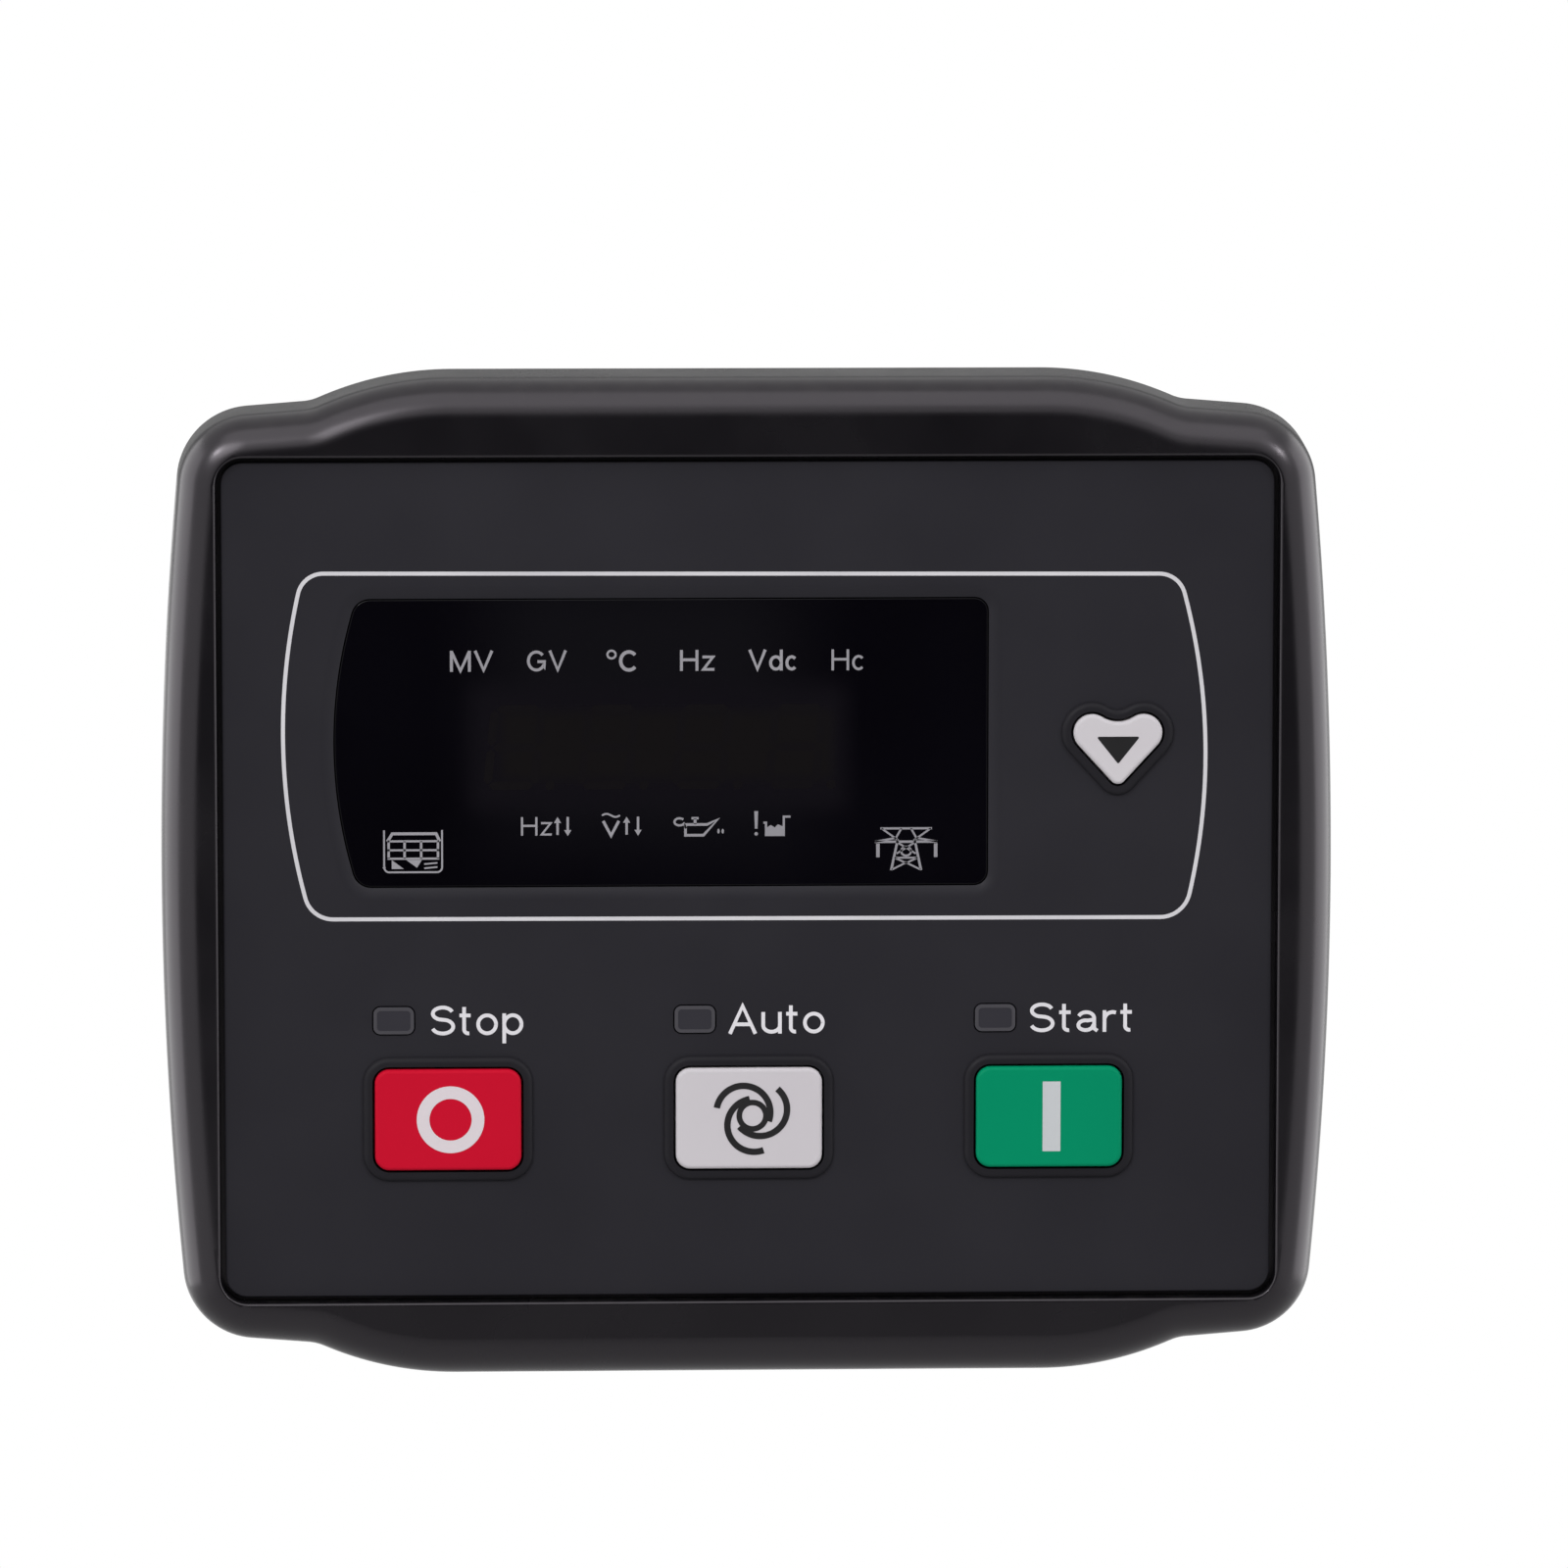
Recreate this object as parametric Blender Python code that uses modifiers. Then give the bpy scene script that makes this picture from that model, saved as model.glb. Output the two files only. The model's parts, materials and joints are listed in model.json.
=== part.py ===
"""Generating-set start controller for a panel cut-out.

A moulded front bezel carries a printed facia, a tinted display lens and four keys. Behind it are a
display board and a power board, a rear housing with two terminal headers, and two side clips whose
screws clamp the panel against the bezel's gasket.

Frame: X to the right, Y into the panel, Z up. The origin is the centre of the panel cut-out, in the
plane of the panel's front face. Lengths are in metres.
"""

import math
from typing import NamedTuple

import bmesh
import bpy
from mathutils import Matrix, Vector

# Bezel outline and section
BEZEL_WIDTH = 0.098
SHOULDER_HEIGHT = 0.079
SHOULDER_FALL = 0.00085
BULGE_RISE = 0.0026
BULGE_SIDE_MARGIN = 0.0189
BULGE_RAMP = 0.0062
RAMP_FOOT_RADIUS = 0.004
RAMP_TOP_RADIUS = 0.0275
SIDE_BOW = 0.0020
CORNER_RADIUS = 0.0066
BEZEL_DEPTH = 0.009
EDGE_ROLL = 0.0034
SIDE_DRAFT = 0.0002
LIP_RADIUS = 0.0003
FRONT_WALL = 0.002
TOTAL_DEPTH = 0.040

# Facia and its margins from the bezel's edge
SIDE_MARGIN = 0.0053
TOP_MARGIN = 0.0045
FACIA_RADIUS = 0.0018
FACIA_THICKNESS = 0.001
FACIA_SINK = 0.0009
FACIA_GAP = 0.0004

# Display window, between the facia's sides and midway between the lamps and the facia's top
WINDOW_LEFT_MARGIN = 0.0092
WINDOW_RIGHT_MARGIN = 0.0237
WINDOW_HEIGHT = 0.0242
WINDOW_DROP = 0.00015
WINDOW_BOW = 0.0019
WINDOW_RADIUS = 0.0012
WINDOW_LEFT_RADIUS = 0.0016
WINDOW_BEVEL = 0.0011
LENS_SINK = 0.0005
LENS_GAP = 0.0001
LENS_FLANGE_WIDTH = 0.0012
LENS_FLANGE_THICKNESS = 0.001

# Keys
KEY_SIDE_MARGIN = 0.0186
KEY_ROW_MARGIN = 0.015
KEY_WIDTH = 0.0122
KEY_HEIGHT = 0.0085
KEY_RADIUS = 0.0012
KEY_EDGE = 0.0003
KEY_PROUD = 0.0008
KEY_GAP = 0.0002
KEY_TRAVEL = 0.0005
KEY_LIP_WIDTH = 0.0008
KEY_LIP_THICKNESS = 0.001
KEY_STEM_RADIUS = 0.0018
COLLAR_WIDTH = 0.0008
COLLAR_HEIGHT = 0.00045
SCROLL_MARGIN = 0.01297
SCROLL_DROP = 0.0005
SCROLL_LOBE_X = 0.00215
SCROLL_LOBE_Z = 0.0013
SCROLL_LOBE_RADIUS = 0.00155
SCROLL_TIP_Z = -0.0023
SCROLL_TIP_RADIUS = 0.0007
SCROLL_NOTCH_Z = 0.00462
SCROLL_NOTCH_RADIUS = 0.0024

# Tact switches
SWITCH_SIZE = 0.006
SWITCH_HEIGHT = 0.0034
PLUNGER_RADIUS = 0.00175
PLUNGER_PROUD = 0.0012
PLUNGER_DEPTH = 0.0013
PLUNGER_GAP = 0.0002

# Status lamps beside the key names
LAMP_RISE = 0.0083
LAMP_OFFSET = 0.0045
LAMP_WIDTH = 0.0034
LAMP_HEIGHT = 0.0023
LAMP_EDGE = 0.0003
LAMP_PROUD = 0.0001
LAMP_GAP = 0.0001
LAMP_SHOULDER = 0.0005
LED_WIDTH = 0.0032
LED_DEPTH = 0.0028
LED_HEIGHT = 0.0016

# Panel, body sleeve, gasket
CUTOUT_SIDE_MARGIN = 0.009
CUTOUT_TOP_MARGIN = 0.0055
CUTOUT_CLEARANCE = 0.0005
BODY_RADIUS = 0.002
WALL = 0.002
SKIRT_DEPTH = 0.0083
LAP_DEPTH = 0.002
LAP_THICKNESS = 0.0009
LAP_GAP = 0.0003
GASKET_WIDTH = 0.0028
GASKET_THICKNESS = 0.0014
GASKET_PROUD = 0.0003
GASKET_INSET = 0.0013

# Boards and the posts and bosses that carry them
BOARD_THICKNESS = 0.0016
BOARD_GAP = 0.0006
BOARD_RADIUS = 0.0008
DISPLAY_BOARD_DEPTH = 0.0094
BOSS_INSET = 0.004
BOSS_RADIUS = 0.003
POST_X = 0.014
POST_INSET = 0.0035
POST_RADIUS = 0.0025
PILOT_GAP = 0.00005
PILOT_FLOOR = 0.001
SMALL_SCREW_RADIUS = 0.0012
SMALL_SCREW_LENGTH = 0.007
SMALL_HEAD_RADIUS = 0.0021
SMALL_HEAD_HEIGHT = 0.0015
LONG_SCREW_RADIUS = 0.0014
LONG_HEAD_RADIUS = 0.0026
LONG_HEAD_HEIGHT = 0.002
LONG_HEAD_SINK = 0.0026
LONG_SCREW_GRIP = 0.006

# Display parts
DIGIT_PITCH = 0.0078
DIGIT_MARGIN = 0.0070
DIGIT_DROP = 0.0005
DIGIT_RECESS = 0.0004
LEGEND_PITCH = 0.00626
LEGEND_MARGIN = 0.0113
LEGEND_END_MARGIN = 0.010
LEGEND_CELL = 0.0024
LEGEND_CELL_HEIGHT = 0.0017
LEGEND_DROP = 0.0052
LEGEND_RISE = 0.0049
CORNER_LEGEND_LEFT = 0.0066
CORNER_LEGEND_RIGHT = 0.0066
CORNER_LEGEND_RISE = 0.0033
BAFFLE_GAP = 0.0004
CHIP_LED_SIZE = 0.0014
CHIP_LED_HEIGHT = 0.0007

# Rear housing, terminal headers and power board parts
HOUSING_SIDE_WALL = 0.0026
HOUSING_REAR_RADIUS = 0.0012
HEADER_PITCH = 0.00508
HEADER_DEPTH = 0.0086
HEADER_HEIGHT = 0.012
HEADER_WALL = 0.0009
HEADER_FLOOR = 0.003
HEADER_GAP = 0.0003
HEADER_KEYWAY = 0.0018
HEADER_KEYWAY_DEPTH = 0.004
UPPER_WAYS = 10
LOWER_WAYS = 8
HEADER_ROW_MARGIN = 0.0135
HEADER_CLIMB = 0.0024
PIN_SIZE = 0.001
PIN_SINK = 0.002
PIN_TAIL = 0.0016
PIN_GAP = 0.00005
SOCKET_WIDTH = 0.0118
SOCKET_TALL = 0.0096
SOCKET_WALL = 0.0012
RELAY_WIDTH = 0.0155
RELAY_TALL = 0.0105
RELAY_GAP = 0.002
RELAY_MARGIN = 0.00515
RELAY_CLEARANCE = 0.0016
PART_GAP = 0.0004
PART_ROUND = 0.0005
CAPACITOR_RADIUS = 0.004
CAPACITOR_MARGIN = 0.0069
CAPACITOR_CLEARANCE = 0.002
CAPACITOR_BEAD = 0.0003
CHOKE_SIZE = 0.010
CHOKE_HEIGHT = 0.0045
CHOKE_RADIUS = 0.003
CHOKE_GAP = 0.005
REGULATOR_WIDTH = 0.0066
REGULATOR_TALL = 0.0064
REGULATOR_HEIGHT = 0.0023
REGULATOR_GAP = 0.007
LINK_LENGTH = 0.0180
LINK_WIDTH = 0.0050
LINK_BASE = 0.0025
LINK_MARGIN = 0.0104
LINK_Z = -0.006
CHIP_SIZE = 0.010
CHIP_HEIGHT = 0.0014
CHIP_X = -0.006
CHIP_Z = -0.004
SOCKET_MARGIN = 0.0159

# Panel clips and clamp screws
CLIP_WIDTH = 0.012
CLIP_PLATE = 0.0021
CLIP_GAP = 0.0003
CLIP_FRONT = 0.0100
CLIP_REAR_MARGIN = 0.0032
CLIP_BOSS_LENGTH = 0.0085
CLIP_BOSS_REACH = 0.0084
CLIP_CHAMFER = 0.0015
CLIP_END_CHAMFER = 0.0005
CLIP_HOOK = 0.0013
CLIP_HOOK_LENGTH = 0.0022
CLIP_HOOK_INSET = 0.002
CLIP_HOOK_REAR_INSET = 0.0045
CLAMP_SCREW_RADIUS = 0.002
CLAMP_HEAD_RADIUS = 0.0028
CLAMP_HEAD_HEIGHT = 0.0026
CLAMP_HEAD_STANDOFF = 0.0045
CLAMP_SLOT = 0.001
CLAMP_INSET = 0.0012
CLAMP_BORE_GAP = 0.00005
PANEL_ROOM = 0.0052

# Air left between pieces that rest on each other, and how far a cutter passes the face it cuts
SEAT = 0.00003
OVERCUT = 0.0005

# Levels along Y, from the front backwards
FLANGE_Y = -GASKET_PROUD
CREST_Y = FLANGE_Y - BEZEL_DEPTH
FACIA_FRONT_Y = CREST_Y + FACIA_SINK
FACIA_SEAT_Y = FACIA_FRONT_Y + FACIA_THICKNESS
WALL_REAR_Y = FACIA_SEAT_Y + FRONT_WALL
LENS_FRONT_Y = FACIA_FRONT_Y + LENS_SINK
LENS_REAR_Y = FACIA_SEAT_Y + SEAT + LENS_FLANGE_THICKNESS
BOARD_FRONT_Y = WALL_REAR_Y + DISPLAY_BOARD_DEPTH
BOARD_REAR_Y = BOARD_FRONT_Y + BOARD_THICKNESS
SKIRT_REAR_Y = FLANGE_Y + SKIRT_DEPTH
HOUSING_FRONT_Y = SKIRT_REAR_Y + LAP_GAP
HOUSING_REAR_Y = CREST_Y + TOTAL_DEPTH
REAR_WALL_Y = HOUSING_REAR_Y - WALL
POWER_REAR_Y = HOUSING_REAR_Y - HEADER_HEIGHT - SEAT
POWER_FRONT_Y = POWER_REAR_Y - BOARD_THICKNESS

# Places across the front and over the boards
CUTOUT_WIDTH = BEZEL_WIDTH - 2 * CUTOUT_SIDE_MARGIN
CUTOUT_HEIGHT = SHOULDER_HEIGHT - 2 * CUTOUT_TOP_MARGIN
FACIA_HALF_WIDTH = BEZEL_WIDTH / 2 - SIDE_MARGIN
FACIA_HALF_HEIGHT = SHOULDER_HEIGHT / 2 - TOP_MARGIN
KEY_ROW_Z = KEY_ROW_MARGIN - FACIA_HALF_HEIGHT
LAMP_ROW_Z = KEY_ROW_Z + LAMP_RISE
WINDOW_LEFT = WINDOW_LEFT_MARGIN - FACIA_HALF_WIDTH
WINDOW_RIGHT = FACIA_HALF_WIDTH - WINDOW_RIGHT_MARGIN
WINDOW_MIDDLE = (LAMP_ROW_Z + FACIA_HALF_HEIGHT) / 2 - WINDOW_DROP
WINDOW_BOTTOM = WINDOW_MIDDLE - WINDOW_HEIGHT / 2
WINDOW_TOP = WINDOW_MIDDLE + WINDOW_HEIGHT / 2
SCROLL_PLACE = (FACIA_HALF_WIDTH - SCROLL_MARGIN, WINDOW_MIDDLE - SCROLL_DROP)
LEGEND_X = WINDOW_LEFT + LEGEND_MARGIN
LEGEND_TOP_Z = WINDOW_TOP - LEGEND_DROP
LEGEND_BOTTOM_Z = WINDOW_BOTTOM + LEGEND_RISE
LEGEND_SPAN = WINDOW_RIGHT - LEGEND_END_MARGIN - LEGEND_X
LEGEND_COLUMNS = 1 + int(LEGEND_SPAN / LEGEND_PITCH)
DIGITS = int(LEGEND_SPAN / DIGIT_PITCH)
BODY_HALF_WIDTH = CUTOUT_WIDTH / 2 - CUTOUT_CLEARANCE
BODY_HALF_HEIGHT = CUTOUT_HEIGHT / 2 - CUTOUT_CLEARANCE
CAVITY_HALF_WIDTH = BODY_HALF_WIDTH - WALL
CAVITY_HALF_HEIGHT = BODY_HALF_HEIGHT - WALL
HOUSING_HALF_INSIDE = BODY_HALF_WIDTH - HOUSING_SIDE_WALL
BOSS_PLACES = [(sx * (CAVITY_HALF_WIDTH - BOSS_INSET), sz * (CAVITY_HALF_HEIGHT - BOSS_INSET))
               for sx in (-1, 1) for sz in (-1, 1)]
POST_PLACES = [(sx * POST_X, sz * (CAVITY_HALF_HEIGHT - POST_INSET))
               for sx in (-1, 1) for sz in (-1, 1)]
KEY_X = FACIA_HALF_WIDTH - KEY_SIDE_MARGIN
KEY_PLACES = {"stop": (-KEY_X, KEY_ROW_Z), "auto": (0.0, KEY_ROW_Z), "start": (KEY_X, KEY_ROW_Z)}
CLAMP_X = BODY_HALF_WIDTH + CLIP_GAP + CLIP_BOSS_REACH - CLAMP_SCREW_RADIUS - CLAMP_INSET
CLIP_END = HOUSING_REAR_Y - CLIP_REAR_MARGIN
HEADER_ROWS = {"header_upper": (UPPER_WAYS, CAVITY_HALF_HEIGHT - HEADER_ROW_MARGIN),
               "header_lower": (LOWER_WAYS, HEADER_ROW_MARGIN - CAVITY_HALF_HEIGHT)}
SOCKET_PLACE = (HOUSING_HALF_INSIDE - SOCKET_MARGIN, 0.0)

PARTS = "genset_controller"
CUTTERS = "cutters"
FINISHES = {
    "bezel": ((0.012, 0.012, 0.014), 0.38, 0.0),
    "facia": ((0.024, 0.024, 0.029), 0.55, 0.0),
    "lens": ((0.003, 0.003, 0.004), 0.12, 0.0),
    "key_red": ((0.56, 0.010, 0.028), 0.45, 0.0),
    "key_green": ((0.0, 0.25, 0.12), 0.45, 0.0),
    "key_white": ((0.58, 0.56, 0.58), 0.45, 0.0),
    "lamp": ((0.05, 0.05, 0.055), 0.25, 0.0),
    "rubber": ((0.02, 0.02, 0.02), 0.85, 0.0),
    "housing": ((0.018, 0.018, 0.02), 0.5, 0.0),
    "board": ((0.01, 0.12, 0.04), 0.4, 0.0),
    "component": ((0.02, 0.02, 0.022), 0.45, 0.0),
    "led": ((0.75, 0.72, 0.6), 0.3, 0.0),
    "digits": ((0.05, 0.045, 0.045), 0.5, 0.0),
    "relay": ((0.02, 0.03, 0.09), 0.5, 0.0),
    "header": ((0.02, 0.16, 0.06), 0.5, 0.0),
    "metal": ((0.62, 0.62, 0.62), 0.3, 1.0),
}


class Arc(NamedTuple):
    """One arc of an outline in the XZ plane; turn is 1 where the outline is convex and -1 where hollow."""

    x: float
    z: float
    radius: float
    start: float
    end: float
    steps: int
    turn: int


def rounded(corners):
    """Arcs that round the corners (x, z, radius, steps) of a polygon listed anticlockwise from the front."""
    count = len(corners)
    points = [Vector((x, z)) for x, z, _, _ in corners]
    turns, tangents = [], []
    for i in range(count):
        arrive = (points[i] - points[i - 1]).normalized()
        leave = (points[(i + 1) % count] - points[i]).normalized()
        angle = math.atan2(arrive.x * leave.y - arrive.y * leave.x, arrive.dot(leave))
        turns.append(angle)
        tangents.append(corners[i][2] * math.tan(abs(angle) / 2))
    limits = [1.0] * count
    for i in range(count):
        j = (i + 1) % count
        room = (points[j] - points[i]).length * 0.998
        if tangents[i] + tangents[j] > room:
            share = room / (tangents[i] + tangents[j])
            limits[i] = min(limits[i], share)
            limits[j] = min(limits[j], share)
    arcs = []
    for i, (x, z, radius, steps) in enumerate(corners):
        radius *= limits[i]
        arrive = (points[i] - points[i - 1]).normalized()
        turn = 1 if turns[i] > 0 else -1
        foot = points[i] - arrive * tangents[i] * limits[i]
        inward = Vector((-arrive.y, arrive.x)) * turn
        centre = foot + inward * radius
        start = math.atan2(-inward.y, -inward.x)
        arcs.append(Arc(centre.x, centre.y, radius, start, start + turns[i], steps, turn))
    return arcs


def points_of(arcs, grow=0.0):
    """Outline points in order, with the whole outline moved outwards by grow."""
    points = []
    for arc in arcs:
        radius = max(arc.radius + arc.turn * grow, 0.00002)
        for i in range(arc.steps + 1):
            angle = arc.start + (arc.end - arc.start) * i / arc.steps
            points.append((arc.x + radius * math.cos(angle), arc.z + radius * math.sin(angle)))
    return points


def circle(x, z, radius, steps=12):
    """A round outline, as one full arc whose last point isn't repeated."""
    return [Arc(x, z, radius, 0.0, math.tau * (steps - 1) / steps, steps - 1, 1)]


def rectangle(x, z, width, height, radius, steps=4):
    """A rectangle with round corners about its centre."""
    w, h = width / 2, height / 2
    return rounded([(x + w, z - h, radius, steps), (x + w, z + h, radius, steps),
                    (x - w, z + h, radius, steps), (x - w, z - h, radius, steps)])


def bowed_side(reach, bow, half_height):
    """Apex and radius of the arc that bows a side outwards by bow, over the given half height."""
    slope = 2 * math.atan(0.9 * bow / half_height)
    apex = reach - bow + half_height * math.tan(slope)
    return apex, (apex - reach) / (1 / math.cos(slope) - 1)


def bezel_outline():
    """Bowed sides, round corners and a bulge along the middle of the top and bottom edges."""
    half_width = BEZEL_WIDTH / 2
    shoulder = SHOULDER_HEIGHT / 2
    crest = half_width - BULGE_SIDE_MARGIN
    corner = shoulder - SHOULDER_FALL
    apex, side_radius = bowed_side(half_width, SIDE_BOW, corner)
    quarter = [(half_width - SIDE_BOW, corner, CORNER_RADIUS, 7),
               (crest + BULGE_RAMP, shoulder, RAMP_FOOT_RADIUS, 3),
               (crest, shoulder + BULGE_RISE, RAMP_TOP_RADIUS, 5)]
    top = quarter + [(-x, z, radius, steps) for x, z, radius, steps in reversed(quarter)]
    bottom = [(-x, -z, radius, steps) for x, z, radius, steps in top]
    return rounded([(apex, 0.0, side_radius, 8)] + top + [(-apex, 0.0, side_radius, 8)] + bottom)


def window_outline():
    """The display window: straight on the right, bowed outwards on the left."""
    half_height = (WINDOW_TOP - WINDOW_BOTTOM) / 2
    apex, side_radius = bowed_side(-WINDOW_LEFT, WINDOW_BOW, half_height)
    corner = WINDOW_LEFT + WINDOW_BOW
    return rounded([(WINDOW_RIGHT, WINDOW_BOTTOM, WINDOW_RADIUS, 4),
                    (WINDOW_RIGHT, WINDOW_TOP, WINDOW_RADIUS, 4),
                    (corner, WINDOW_TOP, WINDOW_LEFT_RADIUS, 4),
                    (-apex, WINDOW_MIDDLE, side_radius, 8),
                    (corner, WINDOW_BOTTOM, WINDOW_LEFT_RADIUS, 4)])


def scroll_outline():
    """The scroll key: two round lobes above a round tip, with a shallow notch between the lobes."""
    reach = Vector((SCROLL_LOBE_X, SCROLL_LOBE_Z - SCROLL_TIP_Z))
    lean = math.asin((SCROLL_LOBE_RADIUS - SCROLL_TIP_RADIUS) / reach.length)
    side = math.atan2(reach.y, reach.x) - lean - math.pi / 2
    rise = Vector((SCROLL_LOBE_X, SCROLL_NOTCH_Z - SCROLL_LOBE_Z))
    swing = math.acos(min(1.0, (SCROLL_LOBE_RADIUS + SCROLL_NOTCH_RADIUS) / rise.length))
    top = math.pi - math.atan2(rise.y, rise.x) - swing
    x, z = SCROLL_PLACE
    return [Arc(x, z + SCROLL_TIP_Z, SCROLL_TIP_RADIUS, -math.pi - side, side, 4, 1),
            Arc(x + SCROLL_LOBE_X, z + SCROLL_LOBE_Z, SCROLL_LOBE_RADIUS, side, top, 8, 1),
            Arc(x, z + SCROLL_NOTCH_Z, SCROLL_NOTCH_RADIUS, top - math.pi, -top, 3, -1),
            Arc(x - SCROLL_LOBE_X, z + SCROLL_LOBE_Z, SCROLL_LOBE_RADIUS,
                math.pi - top, math.pi - side, 8, 1)]


def body_outline():
    """The sleeve and housing that pass through the panel cut-out."""
    return rectangle(0.0, 0.0, 2 * BODY_HALF_WIDTH, 2 * BODY_HALF_HEIGHT, BODY_RADIUS)


def key_outline(name):
    """Outline of one key cap."""
    if name == "scroll":
        return scroll_outline()
    x, z = KEY_PLACES[name]
    return rectangle(x, z, KEY_WIDTH, KEY_HEIGHT, KEY_RADIUS)


def key_place(name):
    """Centre of one key's stem and switch."""
    return SCROLL_PLACE if name == "scroll" else KEY_PLACES[name]


def lamp_places():
    """Centres of the three status lamps, left of the key names."""
    return {name: (x - LAMP_OFFSET, LAMP_ROW_Z) for name, (x, _) in KEY_PLACES.items()}


def legend_places():
    """Centres of the lit legends: an upper row, a lower row without its ends, and one in each low corner."""
    upper = [(LEGEND_X + i * LEGEND_PITCH, LEGEND_TOP_Z) for i in range(LEGEND_COLUMNS)]
    lower = [(x, LEGEND_BOTTOM_Z) for x, _ in upper[1:-1]]
    corner_z = WINDOW_BOTTOM + CORNER_LEGEND_RISE
    corners = [(WINDOW_LEFT + CORNER_LEGEND_LEFT, corner_z), (WINDOW_RIGHT - CORNER_LEGEND_RIGHT, corner_z)]
    return upper + lower + corners


def finish(name):
    """The material of one finish, made once."""
    material = bpy.data.materials.get(name)
    if material is None:
        colour, roughness, metallic = FINISHES[name]
        material = bpy.data.materials.new(name)
        material.use_nodes = True
        shader = material.node_tree.nodes["Principled BSDF"]
        shader.inputs["Base Color"].default_value = (*colour, 1.0)
        shader.inputs["Roughness"].default_value = roughness
        shader.inputs["Metallic"].default_value = metallic
    return material


def place_in(collection, obj):
    """Put an object in one of the two collections."""
    bpy.data.collections[collection].objects.link(obj)


def add_loft(bm, rings, closed=False):
    """Skin rings of (outline points, y) into a body: capped at its ends, or joined round as a tube."""
    loops = [[bm.verts.new((x, y, z)) for x, z in points] for points, y in rings]
    pairs = list(zip(loops, loops[1:] + loops[:1] if closed else loops[1:]))
    for near, far in pairs:
        for i in range(len(near)):
            j = (i + 1) % len(near)
            bm.faces.new((near[i], far[i], far[j], near[j]))
    if not closed:
        bm.faces.new(loops[0])
        bm.faces.new(list(reversed(loops[-1])))


def add_prism(bm, arcs, front, rear, grow=0.0):
    """A straight extrusion of an outline between two levels."""
    points = points_of(arcs, grow)
    add_loft(bm, [(points, front), (points, rear)])


def add_box(bm, x0, x1, y0, y1, z0, z1):
    """A box between two corners."""
    size = Vector((x1 - x0, y1 - y0, z1 - z0))
    middle = Vector((x0 + x1, y0 + y1, z0 + z1)) / 2
    bmesh.ops.create_cube(bm, size=1.0, matrix=Matrix.Translation(middle) @ Matrix.Diagonal((*size, 1.0)))


def piece(name, bm, finish_name=None, smooth=True):
    """Turn a bmesh into an object: a part with its finish, or a cutter when no finish is named."""
    bmesh.ops.recalc_face_normals(bm, faces=bm.faces)
    mesh = bpy.data.meshes.new(name)
    bm.to_mesh(mesh)
    bm.free()
    obj = bpy.data.objects.new(name, mesh)
    if finish_name is None:
        obj.hide_render = True
        obj.display_type = "WIRE"
        place_in(CUTTERS, obj)
    else:
        mesh.materials.append(finish(finish_name))
        place_in(PARTS, obj)
        if smooth:
            mesh.shade_smooth()
            mesh.set_sharp_from_angle(angle=math.radians(30))
    return obj


def modify(obj, operation, *tools):
    """Add one Boolean modifier for each tool."""
    for tool in tools:
        modifier = obj.modifiers.new(tool.name, "BOOLEAN")
        modifier.operation = operation
        modifier.solver = "EXACT"
        modifier.object = tool
    return obj


def lofted(name, rings, finish_name=None):
    """An object skinned over rings of (outline points, y)."""
    bm = bmesh.new()
    add_loft(bm, rings)
    return piece(name, bm, finish_name)


def prisms(name, items, finish_name=None):
    """An object of separate straight extrusions, each (arcs, front, rear)."""
    bm = bmesh.new()
    for arcs, front, rear in items:
        add_prism(bm, arcs, front, rear)
    return piece(name, bm, finish_name)


def boxes(name, items, finish_name=None):
    """An object of separate boxes, each (x0, x1, y0, y1, z0, z1)."""
    bm = bmesh.new()
    for item in items:
        add_box(bm, *item)
    return piece(name, bm, finish_name)


def turned(name, profile, x, y, z, finish_name, facing=1, steps=12):
    """Turn a profile of (radius, distance) about the Y direction through a place.

    The profile starts on the axis at the end that faces along +Y, or along -Y with facing -1.
    """
    mesh = bpy.data.meshes.new(name)
    edges = [(i, i + 1) for i in range(len(profile) - 1)]
    mesh.from_pydata([(radius, 0.0, height) for radius, height in profile], edges, [])
    mesh.materials.append(finish(finish_name))
    obj = bpy.data.objects.new(name, mesh)
    screw = obj.modifiers.new("turn", "SCREW")
    screw.axis = "Z"
    screw.angle = math.tau
    screw.steps = steps
    screw.render_steps = steps
    screw.use_merge_vertices = True
    screw.merge_threshold = 0.00001
    screw.use_smooth_shade = True
    obj.rotation_euler = (-facing * math.pi / 2, 0.0, 0.0)
    obj.location = (x, y, z)
    place_in(PARTS, obj)
    return obj


def copies(name, template, places):
    """Objects name_1, name_2 and so on that share a template's shape, one at each (x, z) place."""
    for i, (x, z) in enumerate(places, 1):
        if i == 1:
            template.name = f"{name}_1"
            template.location.x, template.location.z = x, z
            continue
        obj = template.copy()
        obj.name = f"{name}_{i}"
        obj.location.x, obj.location.z = x, z
        place_in(PARTS, obj)


def screw_profile(shank, length, head, height, recess=0.0007):
    """Pan head screw from its head's top to its tip; distances run down from the seat of the head."""
    return [(0.0, height - recess), (head * 0.42, height - recess), (head * 0.5, height),
            (head * 0.78, height), (head, height * 0.55), (head, 0.0), (shank, 0.0),
            (shank, -length + shank), (shank * 0.45, -length), (0.0, -length)]


def front_shell():
    """Outside of the bezel, skinned from its crest over the rolled edge to its rear face."""
    outline = bezel_outline()
    roll = min(EDGE_ROLL, 0.95 * min(arc.radius for arc in outline if arc.turn > 0) - SIDE_DRAFT)
    rings = [(points_of(outline), FLANGE_Y)]
    for i in range(7):
        angle = math.pi / 2 * i / 6
        inset = SIDE_DRAFT + roll * (1 - math.cos(angle))
        rings.append((points_of(outline, -inset), CREST_Y + roll * (1 - math.sin(angle))))
    return lofted("front_bezel", rings[::-1], "bezel")


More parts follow.
